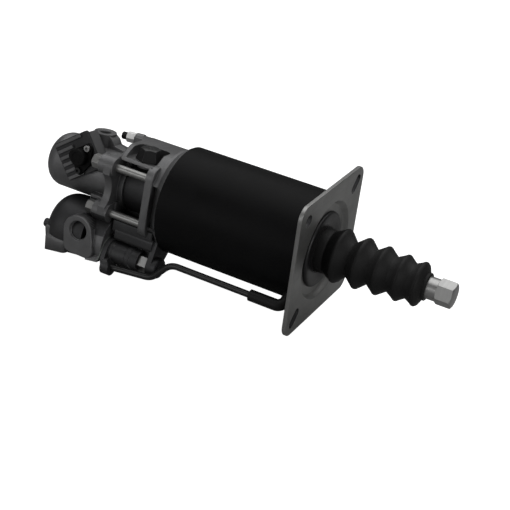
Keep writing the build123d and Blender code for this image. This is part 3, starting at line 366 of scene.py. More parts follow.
@dataclass(frozen=True)
class Metal(Finish):
    """Bare metal, as cast, rolled or turned."""

    grain: Grain = Grain.TURNED
    bump: float = 0.12
    tone_spread: float = 0.25
    metallic: float = 1.0
    grain_scale: float = 900.0
    lines: tuple[float, float, float] = (3000.0, 60.0, 60.0)
    edge_share: float = 0.35
    edge_shade: float = 1.7
    film_share: float = 0.25
    film_shade: float = 0.65
    relief_depth: float = 0.0004

    def surface(self, canvas: Canvas) -> Skin:
        """The grain's tone, lighter on its edges, under a film of handling.

        Args:
            canvas: What the finish starts from.

        Returns:
            The metal's skin.
        """
        sheet = canvas.sheet
        if self.grain is Grain.CAST:
            tree, inputs = canvas.effects.cast_skin, {"Scale": self.grain_scale}
        else:
            tree = canvas.effects.drawn_lines
            inputs = {f"Along {axis}": value for axis, value in zip("XYZ", self.lines)}
        grain = sheet.add("ShaderNodeGroup", {"Vector": canvas.place, **inputs}, node_tree=tree).outputs
        tone = sheet.span(grain["Tone"], 0.3, 0.7)
        colour = sheet.mix(tone, self.shade(1.0 - self.tone_spread), self.shade(1.0 + self.tone_spread))
        edge = sheet.math("MULTIPLY", canvas.edge, self.edge_share)
        colour = sheet.mix(edge, colour, self.shade(self.edge_shade))
        film = sheet.math("MULTIPLY", canvas.film, self.film_share)
        colour = sheet.mix(film, colour, self.shade(self.film_shade))
        rough = sheet.weigh((canvas.film, 0.12), (canvas.scuffs, 0.08))
        rough = sheet.math("ADD", rough, self.roughness - 0.04, clamp=True)
        return Skin(colour, rough, grain["Height"], self.bump, self.relief_depth)

    def constants(self) -> dict[str, float]:
        """How much of a metal the shader is."""
        return {"Metallic": self.metallic}


@dataclass(frozen=True)
class Paint(Finish):
    """A satin coat of paint with a faint orange peel."""

    coat: float = 0.2
    wear: float = 0.5
    gloss: float = 0.3
    worn_colour: tuple[float, float, float] = (0.3, 0.3, 0.3)
    chip_scale: float = 500.0
    peel_scale: float = 420.0
    peel_bump: float = 0.06
    peel_depth: float = 0.0003
    coat_roughness: float = 0.3

    def surface(self, canvas: Canvas) -> Skin:
        """The paint, chipped to the metal on its edges.

        Args:
            canvas: What the finish starts from.

        Returns:
            The paint's skin.
        """
        sheet = canvas.sheet
        chips = sheet.span(sheet.noise(canvas.place, self.chip_scale, 3.0), 0.5, 0.62)
        worn = sheet.math("MULTIPLY", sheet.math("MULTIPLY", canvas.edge, chips), self.wear)
        base = sheet.mix(canvas.film, self.shade(0.85), self.shade(1.25))
        colour = sheet.mix(worn, base, (*self.worn_colour, 1.0))
        rough = sheet.weigh((canvas.film, 0.1), (canvas.scuffs, 0.06))
        rough = sheet.math("ADD", rough, self.roughness - 0.03, clamp=True)
        peel = sheet.noise(canvas.place, self.peel_scale, 2.0)
        return Skin(colour, rough, peel, self.peel_bump, self.peel_depth)

    def constants(self) -> dict[str, float]:
        """The clear coat and the gloss below it."""
        return {"Coat Weight": self.coat, "Coat Roughness": self.coat_roughness,
                "Specular IOR Level": self.gloss}


@dataclass(frozen=True)
class Rubber(Finish):
    """Moulded rubber or plastic with a fine mould texture and a thin bloom."""

    bloom: float = 0.3
    texture_scale: float = 1500.0
    bump: float = 0.15
    gloss: float = 0.3
    bloom_shade: float = 1.9
    texture_depth: float = 0.0002

    def surface(self, canvas: Canvas) -> Skin:
        """The rubber's colour under its bloom.

        Args:
            canvas: What the finish starts from.

        Returns:
            The rubber's skin.
        """
        sheet = canvas.sheet
        texture = sheet.noise(canvas.place, self.texture_scale, 3.0, 0.6)
        bloom = sheet.math("MULTIPLY", canvas.film, self.bloom)
        colour = sheet.mix(bloom, self.shade(1.0), self.shade(self.bloom_shade))
        rough = sheet.weigh((canvas.film, 0.14), (texture, 0.05))
        rough = sheet.math("ADD", rough, self.roughness - 0.07, clamp=True)
        return Skin(colour, rough, texture, self.bump, self.texture_depth)

    def constants(self) -> dict[str, float]:
        """The rubber's gloss."""
        return {"Specular IOR Level": self.gloss}


class Finishes:
    """Every finish on the servo, by the record's material slot."""

    def __init__(self, effects: Effects) -> None:
        """Lists the finishes; their materials are built when first asked for.

        Args:
            effects: The shared node groups.
        """
        self.effects = effects
        self.made: dict[str, bpy.types.Material] = {}
        cast, rolled, turned = Grain.CAST, Grain.ROLLED, Grain.TURNED
        self.known: dict[str, Finish] = {
            "plate_steel": Metal("zinc_plate", (0.24, 0.24, 0.235), 0.4, 0.0006, rolled, 0.08, 0.12, 0.85,
                                 lines=(900.0, 90.0, 1400.0)),
            "tube_paint": Paint("satin_black_tube", (0.0035, 0.0035, 0.0037), 0.5, 0.0006, 0.0, gloss=0.07),
            "rear_casting": Metal("blasted_casting", (0.13, 0.13, 0.132), 0.52, 0.0011, cast, 0.5, 0.2, 0.75),
            # Painted shade: a near black casting colour for faces that lie in shade, low down, under and
            # between the rear castings and in the plate's holes; the dome, darker all over, takes it too.
            "dark_casting": Metal("dark_casting", (0.042, 0.042, 0.0435), 0.52, 0.0009, cast, 0.35, 0.2, 0.75),
            "machined_casting": Metal("machined_casting", (0.2, 0.2, 0.203), 0.36, 0.0006, turned, 0.08, 0.1,
                                      0.85, lines=(1500.0, 300.0, 300.0)),
            "machined_aluminium": Metal("turned_aluminium", (0.6, 0.6, 0.61), 0.3, 0.0004, turned),
            "bright_steel": Metal("bright_zinc", (0.34, 0.34, 0.335), 0.34, 0.0004, turned, 0.1, 0.12),
            # Bright zinc plating; its near white colour, mostly not metallic, is also a painted highlight for
            # the glint on the bleed screw.
            "zinc_with_painted_glint": Metal("zinc_with_painted_glint", (0.9, 0.9, 0.89), 0.4, 0.0004, turned, 0.08, 0.06, 0.3),
            "ground_steel": Metal("ground_rod", (0.62, 0.62, 0.63), 0.18, 0.0003, turned, 0.05, 0.08),
            "spring_steel": Metal("oiled_spring", (0.22, 0.22, 0.23), 0.35, 0.0002, rolled, 0.1, 0.15),
            "black_rubber": Rubber("bellows_rubber", (0.006, 0.006, 0.006), 0.55, 0.0005, gloss=0.2),
            "seal_rubber": Rubber("seal_rubber", (0.012, 0.012, 0.012), 0.35, 0.0002, 0.1),
            "black_steel": Paint("black_coated_steel", (0.006, 0.006, 0.0063), 0.4, 0.0005, 0.15, 0.35),
            "black_plastic": Rubber("moulded_plastic", (0.002, 0.002, 0.002), 0.6, 0.0005, 0.15, 900.0,
                                    gloss=0.12),
            "bearing_plastic": Rubber("bearing_plastic", (0.2, 0.19, 0.17), 0.4, 0.0003, 0.15, 900.0),
            "bronze": Metal("bearing_bronze", (0.5, 0.33, 0.14), 0.32, 0.0003, turned),
            "gasket_sheet": Rubber("gasket_sheet", (0.12, 0.13, 0.12), 0.7, 0.0002, 0.2, 2500.0, 0.3),
            "brass_seat": Metal("turned_brass", (0.6, 0.45, 0.16), 0.28, 0.0003, turned),
        }

    def material(self, slot: str) -> bpy.types.Material:
        """The material of a slot, built on the first call."""
        if slot not in self.made:
            self.made[slot] = self.known[slot].make(self.effects)
        return self.made[slot]


class Workshop:
    """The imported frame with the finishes, and what every sub-assembly needs to make pieces."""

    def __init__(self, frame: dict) -> None:
        """Reads the nodes' slots and bodies from the record.
        """
        self.nodes: dict[str, bpy.types.Object] = frame["nodes"]
        record = frame["record"]
        self.slots: dict[str, str] = {part["node"]: part["material_slot"] for part in record["subparts"]}
        self.bodies: dict[str, str] = {}
        for body, members in record["behaviour"]["bodies"].items():
            self.bodies.update({member: body for member in members})
        self.finishes = Finishes(Effects())

    def dress(self, *names: str) -> None:
        """Gives CAD nodes the material of their slot.

        Args:
            *names: The nodes.
        """
        for name in names:
            data = self.nodes[name].data
            data.materials.clear()
            data.materials.append(self.finishes.material(self.slots[name]))

    def piece(self, name: str, mesh: Mesh, slot: str, body: Body, *replaced: str) -> bpy.types.Object:
        """Makes a finished piece of a bmesh and frees the bmesh.

        Args:
            name: The piece's name.
            mesh: Its shape, in place.
            slot: The record's material slot of its finish.
            body: The body that it rides on.
            *replaced: The CAD nodes that it stands for.

        Returns:
            The new object.
        """
        data = bpy.data.meshes.new(name)
        mesh.to_mesh(data)
        mesh.free()
        made = bpy.data.objects.new(name, data)
        bpy.context.scene.collection.objects.link(made)
        data.materials.append(self.finishes.material(slot))
        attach(made, body.value)
        if replaced:
            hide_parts(*replaced)
        LOG.info("made %s with %d faces", name, len(data.polygons))
        return made

    def copy_of(self, node: str) -> Mesh:
        """A welded copy of a CAD node's mesh, its flat faces whole.

        Args:
            node: The CAD node.

        Returns:
            The copy as a bmesh.
        """
        mesh = bmesh.new()
        mesh.from_mesh(self.nodes[node].data)
        bmesh.ops.remove_doubles(mesh, verts=mesh.verts, dist=WELD_DISTANCE)
        bmesh.ops.dissolve_degenerate(mesh, edges=mesh.edges, dist=WELD_DISTANCE)
        bmesh.ops.dissolve_limit(mesh, angle_limit=FLAT_ANGLE, verts=mesh.verts, edges=mesh.edges,
                                 delimit={"NORMAL"})
        return mesh

    def refine(self, node: str, crease: float = 30.0, move: Optional[Move] = None,
               marks: Sequence[tuple[str, FaceTest]] = (), finish: Optional[str] = None) -> None:
        """Replaces a CAD node by its welded copy, smooth where it curves and sharp at its edges.

        Args:
            node: The CAD node.
            crease: The angle in degrees from which an edge stays sharp.
            move: A rule that moves the copy's corners, given by their places in the rear section.
            marks: More finishes, each with the test of which faces have it; a later one wins.
            finish: A finish to use in place of the slot's own.
        """
        mesh = self.copy_of(node)
        if move is not None:
            move_rear(mesh, move)
        smooth_by_angle(mesh, crease)
        for number, (_, chosen) in enumerate(marks, 1):
            for face in filter(chosen, mesh.faces):
                face.material_index = number
        made = self.piece(f"{node}_dressed", mesh, self.slots[node], Body(self.bodies[node]), node)
        if finish is not None:
            made.data.materials[0] = self.finishes.material(finish)
        for slot, _ in marks:
            made.data.materials.append(self.finishes.material(slot))


def smooth_by_angle(mesh: Mesh, crease: float) -> None:
    """Shades a mesh smooth, apart from the edges that turn by more than an angle.

    Args:
        mesh: The mesh.
        crease: The angle in degrees.
    """
    limit = math.radians(crease)
    for face in mesh.faces:
        face.smooth = True
    for edge in mesh.edges:
        edge.smooth = edge.calc_face_angle(math.pi) < limit


def rear_place(point: Vector) -> Vector:
    """The place in the rear section, in millimetres, of a point of the row's frame."""
    return REAR_CLOCKING.inverted() @ point / MM


def rear_point(x: float, front: float, up: float) -> Vector:
    """The point of the row's frame for a place in the rear section, given in millimetres."""
    return REAR_CLOCKING @ (Vector((x, -front, up)) * MM)


def move_rear(mesh: Mesh, move: Move) -> None:
    """Moves a shape's corners by a rule on their places in the rear section.

    Args:
        mesh: The shape.
        move: Changes a place, in millimetres; its y is minus the front.
    """
    for vert in mesh.verts:
        place = rear_place(vert.co)
        before = place.copy()
        move(place)
        if place != before:
            vert.co = REAR_CLOCKING @ (place * MM)


def set_rear(mesh: Mesh, place: Sequence[float], turn: float = 0.0, axis: str = "Z") -> None:
    """Turns a shape and sets it at a place in the rear section.

    Args:
        mesh: The shape, around the origin.
        place: The place as x, front and up, in millimetres.
        turn: How far it is turned first, in degrees.
        axis: The axis that it is turned about.
    """
    x, front, up = place
    matrix = REAR_CLOCKING @ Matrix.Translation(Vector((x, -front, up)) * MM)
    matrix = matrix @ Matrix.Rotation(math.radians(turn), 4, axis)
    bmesh.ops.transform(mesh, matrix=matrix, verts=mesh.verts)


def on_planes(planes: Planes, tolerance: float = 0.05) -> FaceTest:
    """A test of whether a face lies in one of some planes of the rear section.

    Args:
        planes: Each plane's direction and its place along it, in millimetres.
        tolerance: How far off the plane a face may lie, in millimetres.

    Returns:
        The test.
    """
    def lies(face: Face) -> bool:
        """Whether the face lies in one of the planes."""
        for direction, height in planes:
            along = REAR_CLOCKING.to_3x3() @ Vector(direction.value)
            off = abs(face.calc_center_median().dot(along) - height * MM)
            if abs(face.normal.dot(along)) > 0.999 and off < tolerance * MM:
                return True
        return False

    return lies


def slab(limits: Block, rounding: float) -> Mesh:
    """A block of the rear section, its edges rounded.

    Args:
        limits: Its limits along X, towards the front and upwards, in millimetres.
        rounding: The radius of its edges.

    Returns:
        The block as a bmesh.
    """
    mesh = bmesh.new()
    bmesh.ops.create_cube(mesh, size=1.0)
    sides = Vector([high - low for low, high in limits]) * MM
    bmesh.ops.scale(mesh, verts=mesh.verts, vec=sides)
    bmesh.ops.bevel(mesh, geom=list(mesh.edges), offset=rounding * MM, segments=3, profile=0.5,
                    affect="EDGES", material=-1)
    set_rear(mesh, [sum(pair) / 2 for pair in limits])
    smooth_by_angle(mesh, 30.0)
    return mesh


def lathe(outline: Profile, steps: int, closed: bool = True) -> Mesh:
    """Spins an outline about X.

    Args:
        outline: The corners as (x, radius), in millimetres.
        steps: The number of steps around.
        closed: Whether the last corner joins the first.

    Returns:
        The shape, with its faces outwards.
    """
    mesh = bmesh.new()
    corners = [mesh.verts.new((x * MM, 0.0, radius * MM)) for x, radius in outline]
    pairs = list(zip(corners, corners[1:]))
    if closed:
        pairs.append((corners[-1], corners[0]))
    edges = [mesh.edges.new(pair) for pair in pairs]
    bmesh.ops.spin(mesh, geom=corners + edges, cent=(0, 0, 0), axis=(1, 0, 0), angle=2 * math.pi,
                   steps=steps, use_merge=True)
    bmesh.ops.remove_doubles(mesh, verts=mesh.verts, dist=WELD_DISTANCE)
    bmesh.ops.recalc_face_normals(mesh, faces=mesh.faces)
    return mesh


@dataclass
class RubberBellows:
    """The bellows between the plate and the rod's end."""

    peaks: Profile = ((16.8, 27.0), (39.0, 25.5), (59.8, 24.2), (80.0, 22.9), (97.4, 21.8))
    crest: Profile = ((-2.6, 1.5), (-1.2, 0.35), (0.0, 0.0), (1.2, 0.35), (2.6, 1.5))
    valley_radius: float = 17.5
    valley_half: float = 0.6
    collar_radius: float = 22.0
    collar_end: float = 6.0
    collar_slope: tuple[float, float] = (1.6, 1.0)
    flange_radius: float = 30.0
    flange_faces: Limits = (-5.0, -3.0)
    inner_radius: float = 19.2
    cuff_start: float = 103.4
    cuff_end: float = 106.2
    cuff_radius: float = 13.5
    cuff_step: float = 0.8
    cuff_rounding: float = 0.6
    cuff_grip: float = 1.0
    rod_radius: float = 10.05
    wall: float = 2.4
    steps: int = 112

    def crown(self, x: float, radius: float) -> list[tuple[float, float]]:
        """The rounded crest of a fold."""
        return [(x + along, radius - drop) for along, drop in self.crest]

    def outer(self) -> list[tuple[float, float]]:
        """The outer line's corners, from the collar to the cuff."""
        line = [(self.collar_end, self.collar_radius - self.collar_slope[1])]
        for (here, radius), (there, _) in zip(self.peaks, self.peaks[1:]):
            line += self.crown(here, radius)
            for side in (-self.valley_half, self.valley_half):
                line.append(((here + there) / 2 + side, self.valley_radius))
        return line + self.crown(*self.peaks[-1]) + [(self.cuff_start, self.cuff_radius)]

    def build(self, shop: Workshop) -> None:
        """Makes the bellows, as one fixed shape between the plate and the rod.

        Args:
            shop: The workshop.
        """
        outer = self.outer()
        low, high = self.flange_faces
        held = self.cuff_start - self.cuff_grip
        outline = [(self.collar_end, self.inner_radius), (low, self.inner_radius), (low, self.flange_radius),
                   (high, self.flange_radius), (high, self.collar_radius),
                   (self.collar_end - self.collar_slope[0], self.collar_radius)]
        outline += outer
        outline += [(self.cuff_start + self.cuff_step, self.cuff_radius),
                    (self.cuff_end - self.cuff_rounding, self.cuff_radius),
                    (self.cuff_end, self.cuff_radius - self.cuff_rounding),
                    (self.cuff_end, self.rod_radius), (held, self.rod_radius)]
        outline += [(x, radius - self.wall) for x, radius in reversed(outer[1:-1])]
        mesh = lathe(outline, self.steps)
        smooth_by_angle(mesh, 50.0)
        made = shop.piece("bellows_folds", mesh, "black_rubber", Body.HOUSING, "bellows")
        made.parent = None
        del made["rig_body"]
        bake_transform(made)


@dataclass
class CoilSprings:
    """The springs inside, each at one fixed length."""

    ends: dict[str, tuple[float, float, Body]] = field(default_factory=lambda: {
        "return_spring": (-160.0, -82.0, Body.ROD),
        "control_spring": (-236.3, -256.0, Body.CONTROL),
        "valve_spring": (-203.9, -220.7, Body.INLET),
    })

    def build(self, shop: Workshop) -> None:
        """Makes a fixed copy of each spring.

        Args:
            shop: The workshop.
        """
        for node, (fixed, moving, body) in self.ends.items():
            mesh = shop.copy_of(node)
            smooth_by_angle(mesh, 50.0)
            made = shop.piece(f"{node}_coil", mesh, "spring_steel", Body.HOUSING, node)
            made.parent = None
            del made["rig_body"]
            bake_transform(made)


@dataclass
class MountingPlate:
    """The zinc coated plate with its dish, and the ring that holds the bellows in it."""

    retainer: Profile = ((-5.0, 30.0), (-5.0, 38.0), (-3.6, 38.0), (-2.6, 37.6), (-1.8, 36.6), (-1.4, 35.0),
                         (-1.4, 32.0), (-1.8, 28.5), (-2.4, 25.5), (-3.0, 23.0), (-3.0, 30.0))
    steps: int = 128
    hole_place: float = 51.5
    hole_reach: float = 12.0

    def in_shaded_hole(self, face: Face) -> bool:
        """Whether a face is on the wall of one of the four holes, which get the near black casting colour as
        painted shade.
        """
        place = face.calc_center_median() / MM
        away = math.hypot(abs(place.y) - self.hole_place, abs(place.z) - self.hole_place)
        return away < self.hole_reach and abs(face.normal.x) < 0.5

    def build(self, shop: Workshop) -> None:
        """Dresses the plate and makes the retainer's pressed, rounded form.

        Args:
            shop: The workshop.
        """
        # Painted shade: the walls of the plate's holes take the near black casting colour.
        shop.refine("mounting_flange", marks=(("dark_casting", self.in_shaded_hole),))
        ring = lathe(self.retainer, self.steps)
        smooth_by_angle(ring, 40.0)
        shop.piece("bellows_retainer_pressed", ring, shop.slots["bellows_retainer"], Body.HOUSING,
                   "bellows_retainer")
        shop.dress("guide_bush", "rod_seal")


@dataclass
class AirCylinder:
    """The black tube with its seals, the piston inside and the breather's nipple."""

    inside: Sequence[str] = ("tube_seals", "air_piston", "piston_seal", "piston_guide_ring", "piston_nut")

    def build(self, shop: Workshop) -> None:
        """Dresses the tube and what is inside it.

        Args:
            shop: The workshop.
        """
        shop.refine("cylinder_tube")
        shop.refine("tube_nipple")
        shop.dress(*self.inside)


@dataclass
class PushRod:
    """The ground rod and its bright hexagonal end."""

    neck_start: float = 106.0
    shoulder: float = 112.6

    def lengthen(self, place: Vector) -> None:
        """Draws the neck of the rod's end out to the bellows' cuff."""
        if place.x < self.shoulder:
            place.x = self.neck_start

    def build(self, shop: Workshop) -> None:
        """Dresses the rod, its end and the plunger behind it.

        Args:
            shop: The workshop.
        """
        shop.refine("rod_end", move=self.lengthen)
        shop.refine("push_rod")
        shop.dress("hydraulic_plunger", "plunger_seal", "plunger_bush")


@dataclass
class RearHead:
    """The cast head behind the tube, with the plug in its roof and the bleed screw behind it."""

    machined: Planes = ((Direction.UP, 35.0), (Direction.ALONG, -179.0))
    shade_below: float = -34.0
    webs: dict[str, Block] = field(default_factory=lambda: {
        "lower_web": ((-178.5, -163.5), (18.0, 33.0), (-64.0, -48.0)),
        "bracket_web": ((-211.0, -164.5), (26.0, 41.6), (-40.0, -28.4)),
    })
    web_rounding: float = 1.2
    plug_axis: tuple[float, float] = (-193.0, 20.5)
    plug_top: float = 46.0
    plug_core: float = 5.0
    plug_taper: float = 0.74

    def is_painted_shade(self, face: Face) -> bool:
        """Whether a face lies low, on the lower bracket or the boss, where the near black casting colour
        stands in as painted shade of the underside.
        """
        return rear_place(face.calc_center_median()).z < self.shade_below

    def taper_plug(self, place: Vector) -> None:
        """Draws the top of the plug's hexagon in, as its wide bevel does.

        Args:
            place: The place of one of the plug's corners.
        """
        x, front = self.plug_axis
        if place.z > self.plug_top and math.hypot(place.x - x, place.y + front) > self.plug_core:
            place.x = x + (place.x - x) * self.plug_taper
            place.y = -front + (place.y + front) * self.plug_taper

    def build(self, shop: Workshop) -> None:
        """Dresses the casting and what is screwed into it, and adds its webs.

        Args:
            shop: The workshop.
        """
        # Painted shade: the low faces of the casting get the near black casting colour.
        marks = (("dark_casting", self.is_painted_shade), ("machined_casting", on_planes(self.machined)))
        shop.refine("rear_head", marks=marks)
        shop.refine("inlet_plug", move=self.taper_plug)
        # The bleed screw's near white zinc colour is partly a painted highlight.
        shop.refine("bleed_screw", finish="zinc_with_painted_glint")
        shop.refine("bleed_cap")
        for name, limits in self.webs.items():
            # The webs take the near black casting colour as painted shade.
            shop.piece(name, slab(limits, self.web_rounding), "dark_casting", Body.HOUSING)


@dataclass
class HydraulicUnit:
    """The dark cylinder between the four long bolts, with the two ribs under it."""

    length: Limits = (-213.0, -178.0)
    ribs: Sequence[tuple[Limits, Limits]] = (((6.0, 17.0), (-38.0, -21.0)), ((16.0, 24.0), (-38.0, -26.5)))
    rounding: float = 1.2

    def build(self, shop: Workshop) -> None:
        """Dresses the cylinder, the bolts and their washers, and adds the ribs.

        Args:
            shop: The workshop.
        """
        shop.refine("hydraulic_cylinder")
        shop.refine("long_bolts", finish="plate_steel")
        shop.refine("bolt_washers", finish="plate_steel")
        for number, rib in enumerate(self.ribs, 1):
            mesh = slab((self.length, *rib), self.rounding)
            # The ribs under the cylinder take the near black casting colour as painted shade.
            shop.piece(f"cylinder_rib_{number}", mesh, "dark_casting", Body.HOUSING)
        shop.dress("cylinder_seal")


@dataclass
class ValveHousing:
    """The casting at the rear, with its domed plug and the air port's thread."""

    machined: Planes = ((Direction.FRONT, 56.0), (Direction.UP, 41.5), (Direction.ALONG, -233.0),
                        (Direction.ALONG, -214.0))
    shade_below: float = -26.0
    shade_front: float = 50.0
    port_place: tuple[float, float, float] = (-241.0, 56.0, -47.5)
    port_radius: float = 10.25
    thread_depth: float = 0.85
    thread_pitch: float = 1.5
    thread_start: float = 1.2
    thread_turns: int = 6
    thread_flanks: Limits = (0.45, 0.55)
    wall: float = 0.3
    steps: int = 72
    boss_circles: Sequence[tuple[float, float, float]] = ((-0.9, -1.2, 16.6), (-7.5, -17.5, 8.0),
                                                          (11.5, -18.0, 8.0))
    boss_front: float = 56.15
    boss_root: float = 34.0
    boss_chamfer: float = 0.8
    side_steps: int = 16
    body_axis: tuple[float, float] = (20.0, -59.5)
    body_radius: float = 33.8
    body_end: float = -238.0
    dome_start: float = -264.0
    dome_depth: float = 26.0
    dome_power: float = 2.6
    dome_steps: int = 18
    bottom: tuple[float, float, float] = (-214.0, -72.5, 0.13)
    block: Block = ((-282.4, -255.0), (30.0, 54.2), (-90.0, -63.9))
    block_rounding: float = 3.5
    block_rear: float = -284.6
    block_top: float = -57.0
    block_slant: float = 0.15
    lean_reach: Limits = (6.0, 5.0)

    def boss_reach(self, angle: float) -> float:
        """How far the boss's outline lies from the port's centre in a direction.

        Args:
            angle: The direction, in radians.

        Returns:
            The distance in millimetres.
        """
        along, up = math.cos(angle), math.sin(angle)
        best = 0.0
        circles = self.boss_circles
        for first, second in zip(circles, circles[1:] + circles[:1]):
            for step in range(self.side_steps + 1):
                share = step / self.side_steps
                a, b, radius = (p + (q - p) * share for p, q in zip(first, second))
                middle = along * a + up * b
                inside = middle ** 2 - (a ** 2 + b ** 2 - radius ** 2)
                if inside >= 0:
                    best = max(best, middle + math.sqrt(inside))
        return best

    def boss(self) -> Mesh:
        """The port's boss: straight sided, round above and blunt below, with the hole through it.

        Returns:
            The boss as a bmesh.
        """
        mesh = bmesh.new()
        x, _, up = self.port_place
        angles = [2 * math.pi * step / self.steps for step in range(self.steps)]
        outer = [self.boss_reach(angle) for angle in angles]
        hole = [self.port_radius + self.wall / 2] * self.steps
        chamfered = [reach - self.boss_chamfer for reach in outer]
        rings = ((hole, self.boss_front), (chamfered, self.boss_front),
                 (outer, self.boss_front - self.boss_chamfer), (outer, self.boss_root), (hole, self.boss_root))
        loops = []
        for reaches, front in rings:
            places = [(x + reach * math.cos(angle), front, up + reach * math.sin(angle))
                      for reach, angle in zip(reaches, angles)]
            corners = [mesh.verts.new(rear_point(*place)) for place in places]
            loops.append([mesh.edges.new(pair) for pair in zip(corners, corners[1:] + corners[:1])])
        for here, there in zip(loops, loops[1:] + loops[:1]):
            bmesh.ops.bridge_loops(mesh, edges=here + there)
        bmesh.ops.recalc_face_normals(mesh, faces=mesh.faces)
        smooth_by_angle(mesh, 30.0)
        return mesh

    def dome(self) -> Mesh:
        """The deep round end of the control valve's body, cut aslant below.

        Returns:
            The dome as a bmesh.
        """
        outline = [(self.body_end, 0.0), (self.body_end, self.body_radius)]
        for step in range(self.dome_steps + 1):
            share = math.sin(math.radians(90.0 * step / self.dome_steps))
            away = (1.0 - share ** self.dome_power) ** (1.0 / self.dome_power) if share < 1.0 else 0.0
            outline.append((self.dome_start - self.dome_depth * share, self.body_radius * away))
        mesh = lathe(outline, self.steps, closed=False)
        set_rear(mesh, (0.0, *self.body_axis))
        start, height, slope = self.bottom
        cut = bmesh.ops.bisect_plane(mesh, geom=mesh.verts[:] + mesh.edges[:] + mesh.faces[:],
                                     dist=WELD_DISTANCE, plane_co=rear_point(start, 0.0, height),
                                     plane_no=REAR_CLOCKING.to_3x3() @ Vector((slope, 0.0, -1.0)),
                                     clear_outer=True)
        rim = [part for part in cut["geom_cut"] if isinstance(part, bmesh.types.BMEdge)]
        bmesh.ops.holes_fill(mesh, edges=rim)
        bmesh.ops.recalc_face_normals(mesh, faces=mesh.faces)
        smooth_by_angle(mesh, 30.0)
        return mesh

    def reshape(self, place: Vector) -> None:
        """Leans the corner block's rear face, and brings what hangs low up to the slanting underside.

        Args:
            place: The place of one of the casting's corners.
        """
        start, height, slope = self.bottom
        reach, blend = self.lean_reach
        share = min(1.0, max(0.0, (self.block_rear + reach - place.x) / blend))
        drop = max(0.0, self.block_top - place.z)
        if place.x > self.block_rear - 0.5:
            place.x += share * drop * self.block_slant
        if place.x < start + 0.1:
            place.z = max(place.z, height + slope * (place.x - start))

    def is_painted_shade(self, face: Face) -> bool:
        """Whether a face of the casting lies low and behind the port, where the near black casting colour is
        painted shade.
        """
        place = rear_place(face.calc_center_median())
        return place.z < self.shade_below and -place.y < self.shade_front

    def thread(self) -> Mesh:
        """The port's thread as a ring of sharp ridges, set into the port.

        Returns:
            The thread as a bmesh.
        """
        outer = self.port_radius + self.wall
        end = self.thread_start + self.thread_turns * self.thread_pitch
        outline = [(end, outer), (self.thread_start, outer)]
        for turn in range(self.thread_turns):
            start = self.thread_start + turn * self.thread_pitch
            outline.append((start, self.port_radius))
            for share in self.thread_flanks:
                outline.append((start + self.thread_pitch * share, self.port_radius - self.thread_depth))
        outline.append((end, self.port_radius))
        mesh = lathe(outline, self.steps)
        set_rear(mesh, self.port_place, 90.0)
        smooth_by_angle(mesh, 20.0)
        return mesh

    def build(self, shop: Workshop) -> None:
        """Dresses the casting and its plug, and adds the port's boss, the dome, the block and the thread.

        Args:
            shop: The workshop.
        """
        # Painted shade: the low faces behind the port get the near black casting colour.
        marks = (("dark_casting", self.is_painted_shade), ("machined_casting", on_planes(self.machined)))
        shop.refine("valve_housing", move=self.reshape, marks=marks)
        shop.refine("rear_cap")
        shop.piece("air_port_boss", self.boss(), "rear_casting", Body.HOUSING)
        # The dome takes the near black casting colour all over, darker than the barrel.
        shop.piece("valve_dome", self.dome(), "dark_casting", Body.HOUSING)
        block = slab(self.block, self.block_rounding)
        move_rear(block, self.reshape)
        shop.piece("corner_block", block, "rear_casting", Body.HOUSING)
        shop.piece("air_port_thread", self.thread(), "rear_casting", Body.HOUSING)


@dataclass
class ExhaustCover:
    """The ribbed cover with its black outlet and two screws."""

    lit_rib_tops: Planes = ((Direction.FRONT, 34.8),)
    shaded_screw: tuple[float, float, float] = (-262.6, 34.0, 6.0)
    screw_reach: float = 12.0
    spout_place: tuple[float, float, float] = (-262.6, 43.0, 20.6)
    spout_radius: float = 8.7
    spout_length: float = 10.0
    spout_root: float = 0.5
    spout_rounding: float = 1.4
    rounding_steps: int = 5
    mouth: Profile = ((0.0, -3.0), (-0.5, -3.5))
    steps: int = 64

    def spout(self) -> Mesh:
        """The round black outlet, its rim rounded.

        Returns:
            The outlet as a bmesh.
        """
        radius, rounding = self.spout_radius, self.spout_rounding
        outline = [(-self.spout_length, 0.0), (-self.spout_length, radius + self.spout_root)]
        for step in range(self.rounding_steps + 1):
            angle = math.radians(90.0 * step / self.rounding_steps)
            outline.append((rounding * (math.sin(angle) - 1.0), radius + rounding * (math.cos(angle) - 1.0)))
        outline += [(x, radius + away) for x, away in self.mouth]
        outline.append((self.mouth[-1][0], 0.0))
        mesh = lathe(outline, self.steps, closed=False)
        set_rear(mesh, self.spout_place, -90.0)
        smooth_by_angle(mesh, 30.0)
        return mesh

    def is_painted_shade(self, face: Face) -> bool:
        """Whether a face is on the lower screw, which is coloured black as painted shade of the outlet's
        shadow.
        """
        return (face.calc_center_median() - rear_point(*self.shaded_screw)).length < self.screw_reach * MM

    def build(self, shop: Workshop) -> None:
        """Dresses the cover and what is on it, and adds the outlet.

        Args:
            shop: The workshop.
        """
        # Painted light: the rib tops take the lighter casting colour, so they read as lit and the gaps between
        # them read as shaded.
        shop.refine("exhaust_cover", marks=(("rear_casting", on_planes(self.lit_rib_tops)),))
        shop.refine("exhaust_cap")
        shop.piece("exhaust_spout", self.spout(), "black_plastic", Body.HOUSING)
        # Painted shade: the lower screw is coloured black for the shadow that falls on it.
        shop.refine("cover_screws", marks=(("black_steel", self.is_painted_shade),))
        shop.dress("exhaust_gasket")


